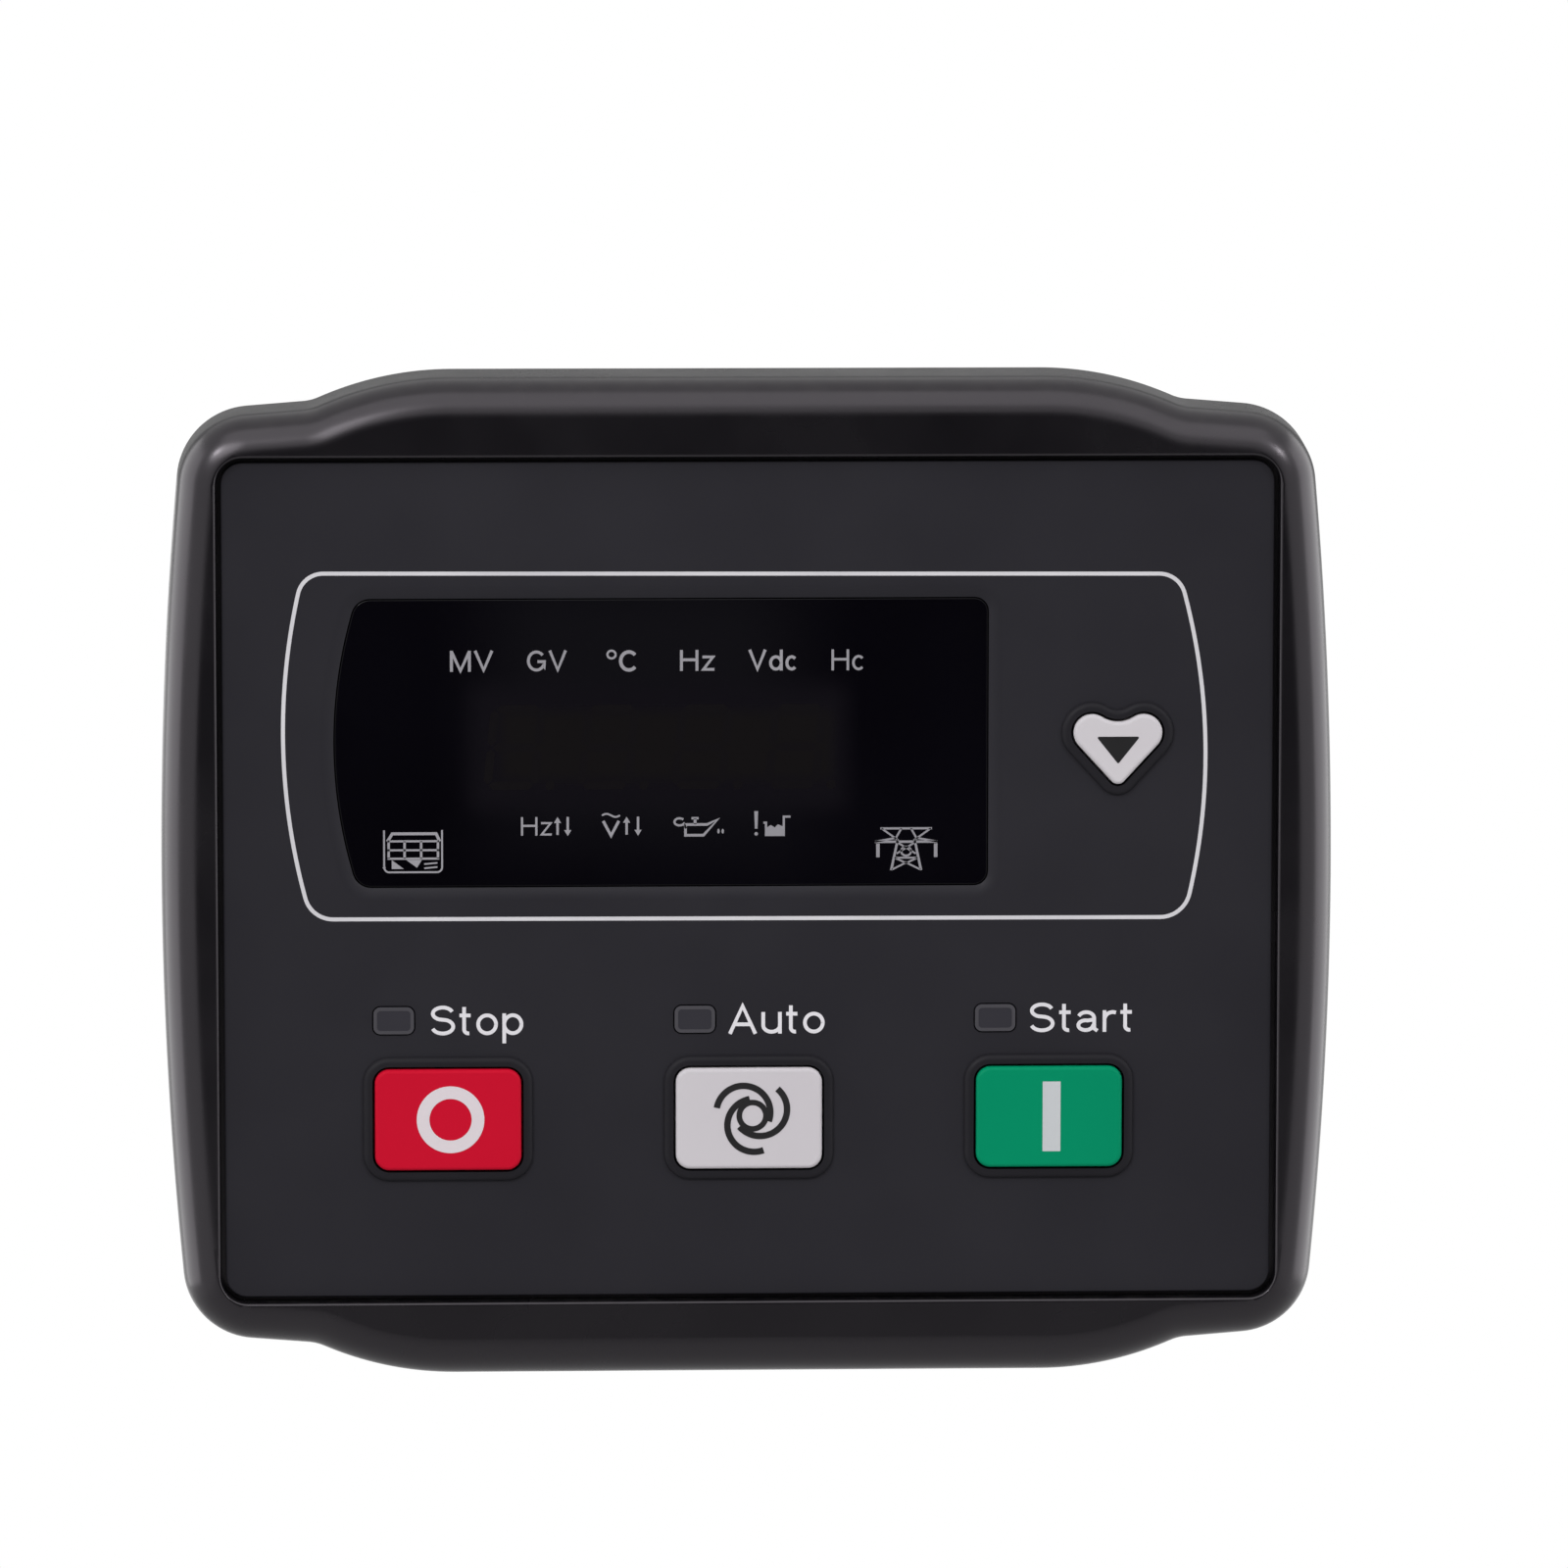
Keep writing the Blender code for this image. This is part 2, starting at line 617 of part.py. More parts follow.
def facia_recess():
    """Cutter of the recess that takes the facia, with a rounded lip."""
    facia = rectangle(0.0, 0.0, 2 * FACIA_HALF_WIDTH, 2 * FACIA_HALF_HEIGHT, FACIA_RADIUS)
    rings = [(points_of(facia, FACIA_GAP + LIP_RADIUS), CREST_Y - OVERCUT)]
    for i in range(4):
        angle = math.pi / 2 * i / 3
        flare = LIP_RADIUS * (1 - math.sin(angle))
        rings.append((points_of(facia, FACIA_GAP + flare), CREST_Y + LIP_RADIUS * (1 - math.cos(angle))))
    rings.append((points_of(facia, FACIA_GAP), FACIA_SEAT_Y))
    return lofted("facia_recess", rings)


def window_step():
    """Cutter of the stepped window that holds the lens by its flange."""
    window = window_outline()
    step = points_of(window, LENS_FLANGE_WIDTH + LENS_GAP)
    opening = points_of(window, -LENS_FLANGE_WIDTH / 2)
    floor = LENS_REAR_Y + SEAT
    return lofted("window_cut", [(step, FACIA_SEAT_Y - OVERCUT), (step, floor), (opening, floor),
                                 (opening, WALL_REAR_Y + OVERCUT)])


def front_holes():
    """Cutter of the key and lamp holes and of the pilot holes in the bosses and posts."""
    front, rear = FACIA_SEAT_Y - OVERCUT, WALL_REAR_Y + OVERCUT
    floor = WALL_REAR_Y + PILOT_FLOOR
    holes = [(key_outline(name), front, rear, KEY_GAP) for name in (*KEY_PLACES, "scroll")]
    holes += [(rectangle(x, z, LAMP_WIDTH, LAMP_HEIGHT, LAMP_EDGE, 2), front, rear, LAMP_GAP)
              for x, z in lamp_places().values()]
    holes += [(circle(x, z, LONG_SCREW_RADIUS), floor, SKIRT_REAR_Y, PILOT_GAP) for x, z in BOSS_PLACES]
    holes += [(circle(x, z, SMALL_SCREW_RADIUS), floor, BOARD_FRONT_Y + OVERCUT, PILOT_GAP)
              for x, z in POST_PLACES]
    bm = bmesh.new()
    for hole in holes:
        add_prism(bm, *hole)
    return piece("front_holes", bm)


def gasket_groove():
    """Cutter of the groove that the gasket sits in."""
    groove = gasket_outline()
    outer, inner = points_of(groove), points_of(groove, -GASKET_WIDTH - 2 * SEAT)
    floor = FLANGE_Y - GASKET_THICKNESS + GASKET_PROUD - SEAT
    bm = bmesh.new()
    add_loft(bm, [(outer, floor), (outer, FLANGE_Y + OVERCUT), (inner, FLANGE_Y + OVERCUT), (inner, floor)],
             closed=True)
    return piece("gasket_groove", bm)


def make_front_bezel():
    """Bezel with its facia recess, windowed front wall, body sleeve, bosses, posts and gasket groove."""
    bezel = front_shell()
    sleeve = prisms("sleeve", [(body_outline(), FLANGE_Y - OVERCUT, SKIRT_REAR_Y)])
    inside = rectangle(0.0, 0.0, 2 * CAVITY_HALF_WIDTH, 2 * CAVITY_HALF_HEIGHT, BODY_RADIUS - WALL / 2)
    cavity = prisms("front_cavity", [(inside, WALL_REAR_Y, SKIRT_REAR_Y + OVERCUT)])
    inset = rectangle(0.0, 0.0, 2 * (BODY_HALF_WIDTH - LAP_THICKNESS), 2 * (BODY_HALF_HEIGHT - LAP_THICKNESS),
                      BODY_RADIUS - LAP_THICKNESS)
    lap = prisms("front_lap", [(inset, SKIRT_REAR_Y - LAP_DEPTH - LAP_GAP, SKIRT_REAR_Y + OVERCUT)])
    root = WALL_REAR_Y - OVERCUT
    bosses = [(circle(x, z, BOSS_RADIUS), root, SKIRT_REAR_Y - LAP_GAP) for x, z in BOSS_PLACES]
    posts = [(circle(x, z, POST_RADIUS), root, BOARD_FRONT_Y - SEAT) for x, z in POST_PLACES]
    modify(bezel, "UNION", sleeve)
    modify(bezel, "DIFFERENCE", facia_recess(), cavity, lap)
    modify(bezel, "UNION", prisms("front_bosses", bosses + posts))
    modify(bezel, "DIFFERENCE", window_step(), front_holes(), gasket_groove())


def gasket_outline():
    """Outer edge of the gasket groove, a fixed distance inside the bezel's shoulders."""
    width = CUTOUT_WIDTH + 2 * (GASKET_INSET + GASKET_WIDTH)
    height = CUTOUT_HEIGHT + 2 * (GASKET_INSET + GASKET_WIDTH)
    return rectangle(0.0, 0.0, width, height, BODY_RADIUS + GASKET_INSET + GASKET_WIDTH, 6)


def make_gasket():
    """Sealing ring in the bezel's rear groove, standing a little proud towards the panel."""
    groove = gasket_outline()
    outer = points_of(groove, -SEAT)
    inner = points_of(groove, -GASKET_WIDTH - SEAT)
    front = FLANGE_Y - GASKET_THICKNESS + GASKET_PROUD
    bm = bmesh.new()
    add_loft(bm, [(outer, front), (outer, 0.0), (inner, 0.0), (inner, front)], closed=True)
    piece("gasket", bm, "rubber")


def make_facia():
    """Facia plate with a bevelled window, a raised collar round each key and the lamp openings."""
    outline = rectangle(0.0, 0.0, 2 * FACIA_HALF_WIDTH, 2 * FACIA_HALF_HEIGHT, FACIA_RADIUS)
    facia = prisms("facia", [(outline, FACIA_FRONT_Y, FACIA_SEAT_Y - SEAT)], "facia")
    bm = bmesh.new()
    for name in (*KEY_PLACES, "scroll"):
        arcs = key_outline(name)
        rings = [(points_of(arcs, KEY_GAP + COLLAR_WIDTH), FACIA_FRONT_Y + FACIA_THICKNESS / 2)]
        for i in range(4):
            angle = math.pi / 2 * i / 3
            reach = KEY_GAP + COLLAR_WIDTH * (0.35 + 0.65 * math.cos(angle))
            rings.append((points_of(arcs, reach), FACIA_FRONT_Y - COLLAR_HEIGHT * math.sin(angle)))
        add_loft(bm, rings[::-1])
    collars = piece("key_collars", bm)
    window = window_outline()
    slope = WINDOW_BEVEL / LENS_SINK
    cut = lofted("facia_window", [(points_of(window, slope * (LENS_SINK + OVERCUT)), FACIA_FRONT_Y - OVERCUT),
                                  (points_of(window, 0.0), LENS_FRONT_Y),
                                  (points_of(window, 0.0), FACIA_SEAT_Y + OVERCUT)])
    bm = bmesh.new()
    for name in (*KEY_PLACES, "scroll"):
        add_prism(bm, key_outline(name), FACIA_FRONT_Y - COLLAR_HEIGHT - OVERCUT, FACIA_SEAT_Y + OVERCUT,
                  KEY_GAP)
    for x, z in lamp_places().values():
        add_prism(bm, rectangle(x, z, LAMP_WIDTH, LAMP_HEIGHT, LAMP_EDGE, 2), FACIA_FRONT_Y - OVERCUT,
                  FACIA_SEAT_Y + OVERCUT, LAMP_GAP)
    modify(facia, "UNION", collars)
    modify(facia, "DIFFERENCE", cut, piece("facia_holes", bm))


def make_lens():
    """Tinted lens whose face fills the window and whose flange is held behind the facia."""
    window = window_outline()
    face = points_of(window, -LENS_GAP)
    flange = points_of(window, LENS_FLANGE_WIDTH)
    lofted("display_lens", [(face, LENS_FRONT_Y), (face, FACIA_SEAT_Y + SEAT),
                            (flange, FACIA_SEAT_Y + SEAT), (flange, LENS_REAR_Y)], "lens")


def make_key(name, finish_name):
    """One key cap with its retaining lip and stem, the plunger it presses and the fixed switch body."""
    arcs = key_outline(name)
    x, z = key_place(name)
    top = FACIA_FRONT_Y - KEY_PROUD
    lip_front = WALL_REAR_Y + LAP_GAP
    lip_rear = lip_front + KEY_LIP_THICKNESS
    switch_front = BOARD_FRONT_Y - SWITCH_HEIGHT
    plunger_front = switch_front - PLUNGER_PROUD
    cap = lofted("key_" + name, [(points_of(arcs, -KEY_EDGE), top),
                                 (points_of(arcs, -KEY_EDGE * 0.3), top + KEY_EDGE * 0.3),
                                 (points_of(arcs), top + KEY_EDGE),
                                 (points_of(arcs), lip_front),
                                 (points_of(arcs, KEY_LIP_WIDTH), lip_front),
                                 (points_of(arcs, KEY_LIP_WIDTH), lip_rear)], finish_name)
    modify(cap, "UNION", prisms("stem_" + name, [(circle(x, z, KEY_STEM_RADIUS), lip_rear - OVERCUT,
                                                  plunger_front - SEAT)]))
    length = PLUNGER_PROUD + PLUNGER_DEPTH
    turned("plunger_" + name, [(0.0, length), (PLUNGER_RADIUS - KEY_EDGE, length),
                               (PLUNGER_RADIUS, length - KEY_EDGE), (PLUNGER_RADIUS, 0.0), (0.0, 0.0)],
           x, plunger_front + length, z, "component", facing=-1)
    body = prisms("switch_" + name, [(rectangle(x, z, SWITCH_SIZE, SWITCH_SIZE, PART_ROUND, 2), switch_front,
                                      BOARD_FRONT_Y - SEAT)], "component")
    bore = prisms("bore_" + name, [(circle(x, z, PLUNGER_RADIUS + PLUNGER_GAP), switch_front - OVERCUT,
                                    switch_front + PLUNGER_DEPTH + KEY_TRAVEL + PLUNGER_GAP)])
    modify(body, "DIFFERENCE", bore)


def make_lamp(name, x, z):
    """Light pipe of one status lamp and the LED behind it."""
    arcs = rectangle(x, z, LAMP_WIDTH, LAMP_HEIGHT, LAMP_EDGE, 2)
    front = FACIA_FRONT_Y - LAMP_PROUD
    shoulder = WALL_REAR_Y + SEAT
    led_front = BOARD_FRONT_Y - LED_HEIGHT
    lofted("light_pipe_" + name, [(points_of(arcs, -LAMP_EDGE), front),
                                  (points_of(arcs), front + LAMP_EDGE),
                                  (points_of(arcs), shoulder),
                                  (points_of(arcs, LAMP_SHOULDER), shoulder),
                                  (points_of(arcs, LAMP_SHOULDER), shoulder + LAMP_SHOULDER),
                                  (points_of(arcs), shoulder + LAMP_SHOULDER),
                                  (points_of(arcs), led_front - LAP_GAP)], "lamp")
    prisms("led_" + name, [(rectangle(x, z, LED_WIDTH, LED_DEPTH, LAMP_EDGE, 2), led_front,
                            BOARD_FRONT_Y - SEAT)], "led")


def board_outline(half_width, half_height):
    """A board with square notches that clear the corner bosses."""
    notch_x = CAVITY_HALF_WIDTH - BOSS_INSET - BOSS_RADIUS - BOARD_GAP
    notch_z = CAVITY_HALF_HEIGHT - BOSS_INSET - BOSS_RADIUS - BOARD_GAP
    quarter = [(half_width, notch_z), (notch_x, notch_z), (notch_x, half_height)]
    half = quarter + [(-x, z) for x, z in reversed(quarter)]
    corners = half + [(-x, -z) for x, z in half]
    return rounded([(x, z, BOARD_RADIUS, 2) for x, z in corners])


def make_board(name, front, half_width, pins, chips):
    """One circuit board with its soldered chip LEDs, drilled for its four screws and any header pins."""
    board = prisms(name, [(board_outline(half_width, CAVITY_HALF_HEIGHT - BOARD_GAP), front,
                           front + BOARD_THICKNESS)], "board")
    if chips:
        half = CHIP_LED_SIZE / 2
        leds = [(x - half, x + half, front - CHIP_LED_HEIGHT, front + OVERCUT, z - half, z + half)
                for x, z in chips]
        modify(board, "UNION", boxes(name + "_chips", leds))
    bm = bmesh.new()
    for x, z in POST_PLACES:
        add_prism(bm, circle(x, z, SMALL_SCREW_RADIUS), front - OVERCUT, front + BOARD_THICKNESS + OVERCUT,
                  PILOT_GAP)
    half = PIN_SIZE / 2 + PIN_GAP
    for x, z in pins:
        add_box(bm, x - half, x + half, front - OVERCUT, front + BOARD_THICKNESS + OVERCUT, z - half, z + half)
    modify(board, "DIFFERENCE", piece(name + "_holes", bm))


def make_board_screws(name, y, facing):
    """Four small screws that hold one board to its posts."""
    profile = screw_profile(SMALL_SCREW_RADIUS, SMALL_SCREW_LENGTH, SMALL_HEAD_RADIUS, SMALL_HEAD_HEIGHT,
                            0.0005)
    copies(name, turned(name, profile, 0.0, y, 0.0, "metal", facing, 8), POST_PLACES)


def make_display():
    """Digit block and the light baffle that surrounds it and the legend LEDs behind the lens."""
    width = DIGITS * DIGIT_PITCH
    left = LEGEND_X + (LEGEND_COLUMNS - 1) / 2 * LEGEND_PITCH - width / 2
    bottom, top = WINDOW_BOTTOM + DIGIT_MARGIN - DIGIT_DROP, WINDOW_TOP - DIGIT_MARGIN - DIGIT_DROP
    face = LENS_REAR_Y + 2 * SEAT + LAP_GAP
    rear = BOARD_FRONT_Y - SEAT
    block = boxes("digit_display", [(left, left + width, face, rear, bottom, top)], "digits")
    bm = bmesh.new()
    bar = DIGIT_PITCH * 0.11
    for i in range(DIGITS):
        x = left + (i + 0.5) * DIGIT_PITCH
        reach = DIGIT_PITCH * 0.3
        rise = (top - bottom) * 0.37
        middle = (top + bottom) / 2
        for level in (-rise, 0.0, rise):
            add_box(bm, x - reach + bar, x + reach - bar, face - OVERCUT, face + DIGIT_RECESS,
                    middle + level - bar / 2, middle + level + bar / 2)
        for side in (-reach, reach):
            for low, high in ((-rise, 0.0), (0.0, rise)):
                add_box(bm, x + side - bar / 2, x + side + bar / 2, face - OVERCUT, face + DIGIT_RECESS,
                        middle + low + bar, middle + high - bar)
    modify(block, "DIFFERENCE", piece("digit_segments", bm))
    cells = legend_places()
    arcs = window_outline()
    baffle = lofted("light_baffle", [(points_of(arcs, -2 * LENS_FLANGE_WIDTH), face - LAP_GAP),
                                     (points_of(arcs, -2 * LENS_FLANGE_WIDTH), rear)], "component")
    bm = bmesh.new()
    add_box(bm, left - BAFFLE_GAP, left + width + BAFFLE_GAP, face - LAP_GAP - OVERCUT, rear + OVERCUT,
            bottom - BAFFLE_GAP, top + BAFFLE_GAP)
    for x, z in cells:
        add_box(bm, x - LEGEND_CELL / 2, x + LEGEND_CELL / 2, face - LAP_GAP - OVERCUT, rear + OVERCUT,
                z - LEGEND_CELL_HEIGHT / 2, z + LEGEND_CELL_HEIGHT / 2)
    posts = prisms("baffle_posts", [(circle(x, z, POST_RADIUS + BOARD_GAP), face - LAP_GAP - OVERCUT,
                                     rear + OVERCUT) for x, z in POST_PLACES])
    modify(baffle, "DIFFERENCE", piece("baffle_cells", bm), posts)


def header_pins(ways, row):
    """Pin centres of one header, below its middle so that the plug's screws clear them."""
    z = row - HEADER_DEPTH / 2 + HEADER_WALL + HEADER_CLIMB - PIN_SIZE
    return [((i - (ways - 1) / 2) * HEADER_PITCH, z) for i in range(ways)]


def make_header(name, ways, row):
    """One terminal header: an open trough with keyways along its upper wall, moulded round its pins."""
    half_width = ways * HEADER_PITCH / 2 + HEADER_WALL
    half_depth = HEADER_DEPTH / 2
    base = POWER_REAR_Y + SEAT
    floor = base + HEADER_FLOOR
    body = boxes(name, [(-half_width, half_width, base, HOUSING_REAR_Y, row - half_depth, row + half_depth)],
                 "header")
    bm = bmesh.new()
    add_box(bm, HEADER_WALL - half_width, half_width - HEADER_WALL, floor, HOUSING_REAR_Y + OVERCUT,
            row - half_depth + HEADER_WALL, row + half_depth - HEADER_WALL)
    trough = piece(name + "_trough", bm)
    bm = bmesh.new()
    pins = header_pins(ways, row)
    for x, z in pins:
        add_box(bm, x - HEADER_KEYWAY / 2, x + HEADER_KEYWAY / 2, HOUSING_REAR_Y - HEADER_KEYWAY_DEPTH,
                HOUSING_REAR_Y + OVERCUT, row + half_depth - HEADER_WALL - OVERCUT, row + half_depth + OVERCUT)
    modify(body, "DIFFERENCE", trough, piece(name + "_slots", bm))
    half = PIN_SIZE / 2
    modify(body, "UNION", boxes(name + "_pins", [(x - half, x + half, POWER_FRONT_Y - PIN_TAIL,
                                                  HOUSING_REAR_Y - PIN_SINK, z - half, z + half)
                                                 for x, z in pins]))


def make_service_socket():
    """Small open data socket between the two headers."""
    base = POWER_REAR_Y + SEAT
    arcs = rectangle(*SOCKET_PLACE, SOCKET_WIDTH, SOCKET_TALL, PART_ROUND, 2)
    socket = prisms("service_socket", [(arcs, base, HOUSING_REAR_Y)], "component")
    modify(socket, "DIFFERENCE", prisms("socket_hole", [(
        rectangle(*SOCKET_PLACE, SOCKET_WIDTH - 2 * SOCKET_WALL, SOCKET_TALL - 2 * SOCKET_WALL, PART_ROUND, 2),
        base + HEADER_FLOOR, HOUSING_REAR_Y + OVERCUT)]))


def make_rear_housing():
    """Box-shaped housing with a lapped front edge, board posts, screw pillars and connector openings."""
    body = body_outline()
    rings = [(points_of(body), HOUSING_FRONT_Y)]
    for i in range(4):
        angle = math.pi / 2 * i / 3
        rings.append((points_of(body, -HOUSING_REAR_RADIUS * (1 - math.cos(angle))),
                      HOUSING_REAR_Y - HOUSING_REAR_RADIUS * (1 - math.sin(angle))))
    housing = lofted("rear_housing", rings, "housing")
    lap = LAP_THICKNESS + LAP_GAP
    spigot = prisms("spigot", [(rectangle(0.0, 0.0, 2 * (BODY_HALF_WIDTH - lap), 2 * (BODY_HALF_HEIGHT - lap),
                                          BODY_RADIUS - LAP_THICKNESS),
                                SKIRT_REAR_Y - LAP_DEPTH, HOUSING_FRONT_Y + OVERCUT)])
    inside = rectangle(0.0, 0.0, 2 * HOUSING_HALF_INSIDE, 2 * CAVITY_HALF_HEIGHT, BODY_RADIUS - WALL / 2)
    cavity = prisms("rear_cavity", [(inside, SKIRT_REAR_Y - LAP_DEPTH - OVERCUT, REAR_WALL_Y)])
    pillars = [(circle(x, z, BOSS_RADIUS), SKIRT_REAR_Y, REAR_WALL_Y + OVERCUT) for x, z in BOSS_PLACES]
    posts = [(circle(x, z, POST_RADIUS), POWER_REAR_Y + SEAT, REAR_WALL_Y + OVERCUT) for x, z in POST_PLACES]
    bm = bmesh.new()
    for x, z in BOSS_PLACES:
        seat = HOUSING_REAR_Y - LONG_HEAD_SINK
        bore = circle(x, z, LONG_SCREW_RADIUS + PILOT_GAP)
        well = circle(x, z, LONG_HEAD_RADIUS + LAP_GAP)
        add_loft(bm, [(points_of(bore), SKIRT_REAR_Y - OVERCUT), (points_of(bore), seat),
                      (points_of(well), seat), (points_of(well), HOUSING_REAR_Y + OVERCUT)])
    for x, z in POST_PLACES:
        add_prism(bm, circle(x, z, SMALL_SCREW_RADIUS), POWER_REAR_Y - OVERCUT, REAR_WALL_Y - PILOT_FLOOR,
                  PILOT_GAP)
    for ways, row in HEADER_ROWS.values():
        width = ways * HEADER_PITCH + 2 * (HEADER_WALL + HEADER_GAP)
        add_prism(bm, rectangle(0.0, row, width, HEADER_DEPTH + 2 * HEADER_GAP, PART_ROUND, 2),
                  REAR_WALL_Y - OVERCUT, HOUSING_REAR_Y + OVERCUT)
    add_prism(bm, rectangle(*SOCKET_PLACE, SOCKET_WIDTH, SOCKET_TALL, PART_ROUND, 2),
              REAR_WALL_Y - OVERCUT, HOUSING_REAR_Y + OVERCUT, HEADER_GAP)
    openings = piece("rear_openings", bm)
    pockets = []
    half = CLIP_WIDTH / 2 + CLIP_GAP
    for side in (-1, 1):
        outer = side * (BODY_HALF_WIDTH + OVERCUT)
        inner = side * (BODY_HALF_WIDTH - CLIP_HOOK - CLIP_GAP)
        for start in clip_hooks():
            pockets.append((min(outer, inner), max(outer, inner), start - CLIP_GAP,
                            start + CLIP_HOOK_LENGTH + CLIP_GAP, -half, half))
    modify(housing, "UNION", spigot)
    modify(housing, "DIFFERENCE", cavity)
    modify(housing, "UNION", prisms("rear_pillars", pillars + posts))
    modify(housing, "DIFFERENCE", openings, boxes("clip_pockets", pockets))


def make_housing_screws():
    """Four long screws from the rear housing into the bezel's corner bosses."""
    seat = HOUSING_REAR_Y - LONG_HEAD_SINK + SEAT
    length = seat - (SKIRT_REAR_Y - LONG_SCREW_GRIP)
    profile = screw_profile(LONG_SCREW_RADIUS, length, LONG_HEAD_RADIUS, LONG_HEAD_HEIGHT)
    copies("housing_screw", turned("housing_screw", profile, 0.0, seat, 0.0, "metal"), BOSS_PLACES)


def clip_hooks():
    """Front ends of a clip's two hooks."""
    return (CLIP_FRONT + CLIP_HOOK_INSET, CLIP_END - CLIP_HOOK_REAR_INSET)


def make_clip(name, side):
    """Side clip: a plate along the housing, two hooks into its pockets and a boss for the clamp screw."""
    inner = BODY_HALF_WIDTH + CLIP_GAP
    plate = inner + CLIP_PLATE
    boss = inner + CLIP_BOSS_REACH
    near, far = clip_hooks()
    boss_end = CLIP_FRONT + CLIP_BOSS_LENGTH
    slope = CLIP_CHAMFER
    profile = [(inner, CLIP_FRONT), (plate, CLIP_FRONT), (boss - slope, CLIP_FRONT),
               (boss, CLIP_FRONT + slope), (boss, boss_end - slope), (boss - slope, boss_end),
               (plate, boss_end + slope),
               (plate, CLIP_END - CLIP_END_CHAMFER), (plate - CLIP_END_CHAMFER, CLIP_END), (inner, CLIP_END)]
    for start in (far, near):
        tip, end = inner - CLIP_GAP - CLIP_HOOK, start + CLIP_HOOK_LENGTH
        profile += [(inner, end), (tip, end), (tip, start), (inner, start)]
    bm = bmesh.new()
    face = bm.faces.new([bm.verts.new((side * x, y, -CLIP_WIDTH / 2)) for x, y in profile])
    pushed = bmesh.ops.extrude_face_region(bm, geom=[face])["geom"]
    moved = [item for item in pushed if isinstance(item, bmesh.types.BMVert)]
    bmesh.ops.translate(bm, vec=(0.0, 0.0, CLIP_WIDTH), verts=moved)
    clip = piece(name, bm, "housing")
    bore = prisms(name + "_bore", [(circle(side * CLAMP_X, 0.0, CLAMP_SCREW_RADIUS + CLAMP_BORE_GAP),
                                    CLIP_FRONT - OVERCUT, boss_end + CLIP_CHAMFER + OVERCUT)])
    modify(clip, "DIFFERENCE", bore)


def make_clamp_screw(name, side):
    """Clamp screw through the clip's boss, whose tip presses on the back of the panel."""
    seat = CLIP_FRONT + CLIP_BOSS_LENGTH + CLAMP_HEAD_STANDOFF
    length = seat - PANEL_ROOM
    slot = CLAMP_HEAD_HEIGHT * 0.4
    screw = turned(name, screw_profile(CLAMP_SCREW_RADIUS, length, CLAMP_HEAD_RADIUS, CLAMP_HEAD_HEIGHT, 0.0),
                   side * CLAMP_X, seat, 0.0, "metal")
    x, reach, top = side * CLAMP_X, CLAMP_HEAD_RADIUS + OVERCUT, seat + CLAMP_HEAD_HEIGHT
    cut = boxes(name + "_slot", [(x - reach, x + reach, top - slot, top + OVERCUT, -CLAMP_SLOT / 2,
                                  CLAMP_SLOT / 2)])
    modify(screw, "DIFFERENCE", cut)


def part_rows():
    """Heights of the two rows of power parts: under the upper header's pins and over the lower one's."""
    upper, lower = (header_pins(ways, row)[0][1] for ways, row in HEADER_ROWS.values())
    reach = PIN_SIZE / 2 + PART_GAP
    return upper - reach - RELAY_TALL / 2, lower + reach + CHOKE_SIZE / 2


def make_relays(z):
    """Row of three relays, whose height leaves a clearance to the display board."""
    rear = POWER_FRONT_Y - SEAT
    front = BOARD_REAR_Y + RELAY_CLEARANCE
    first = RELAY_MARGIN + RELAY_WIDTH / 2 - HOUSING_HALF_INSIDE
    for i, name in enumerate(("relay_fuel", "relay_start", "relay_alarm")):
        arcs = rectangle(first + i * (RELAY_WIDTH + RELAY_GAP), z, RELAY_WIDTH, RELAY_TALL, PART_ROUND, 2)
        lofted(name, [(points_of(arcs, -PART_ROUND), front), (points_of(arcs), front + PART_ROUND),
                      (points_of(arcs), rear)], "relay")


def make_supply_parts(z):
    """Capacitor, choke and regulator in a row on the power board."""
    rear = POWER_FRONT_Y - SEAT
    height = rear - BOARD_REAR_Y - CAPACITOR_CLEARANCE
    radius, bead = CAPACITOR_RADIUS, CAPACITOR_BEAD
    x = CAPACITOR_MARGIN + radius - HOUSING_HALF_INSIDE
    turned("supply_capacitor", [(0.0, height), (radius - 2 * bead, height), (radius, height - 2 * bead),
                                (radius, 4 * bead), (radius - bead, 3 * bead), (radius, 2 * bead),
                                (radius, 0.0), (0.0, 0.0)],
           x, rear, z, "component", facing=-1)
    x += radius + CHOKE_GAP + CHOKE_SIZE / 2
    core = rectangle(x, z, CHOKE_SIZE, CHOKE_SIZE, CHOKE_RADIUS)
    prisms("supply_choke", [(core, rear - CHOKE_HEIGHT, rear)], "component")
    x += CHOKE_SIZE / 2 + REGULATOR_GAP
    boxes("regulator", [(x, x + REGULATOR_WIDTH, rear - REGULATOR_HEIGHT, rear, z - REGULATOR_TALL / 2,
                         z + REGULATOR_TALL / 2)], "component")


def make_link():
    """Two-part connector between the boards, and the processor behind the display board."""
    rear = POWER_FRONT_Y - SEAT
    link = rectangle(HOUSING_HALF_INSIDE - LINK_MARGIN, LINK_Z, LINK_WIDTH, LINK_LENGTH, PART_ROUND, 2)
    prisms("link_header", [(link, rear - LINK_BASE, rear)], "component")
    prisms("link_socket", [(link, BOARD_REAR_Y + SEAT, rear - LINK_BASE - SEAT)], "component")
    chip = rectangle(CHIP_X, CHIP_Z, CHIP_SIZE, CHIP_SIZE, PART_ROUND, 2)
    prisms("controller_chip", [(chip, BOARD_REAR_Y + SEAT, BOARD_REAR_Y + CHIP_HEIGHT)], "component")


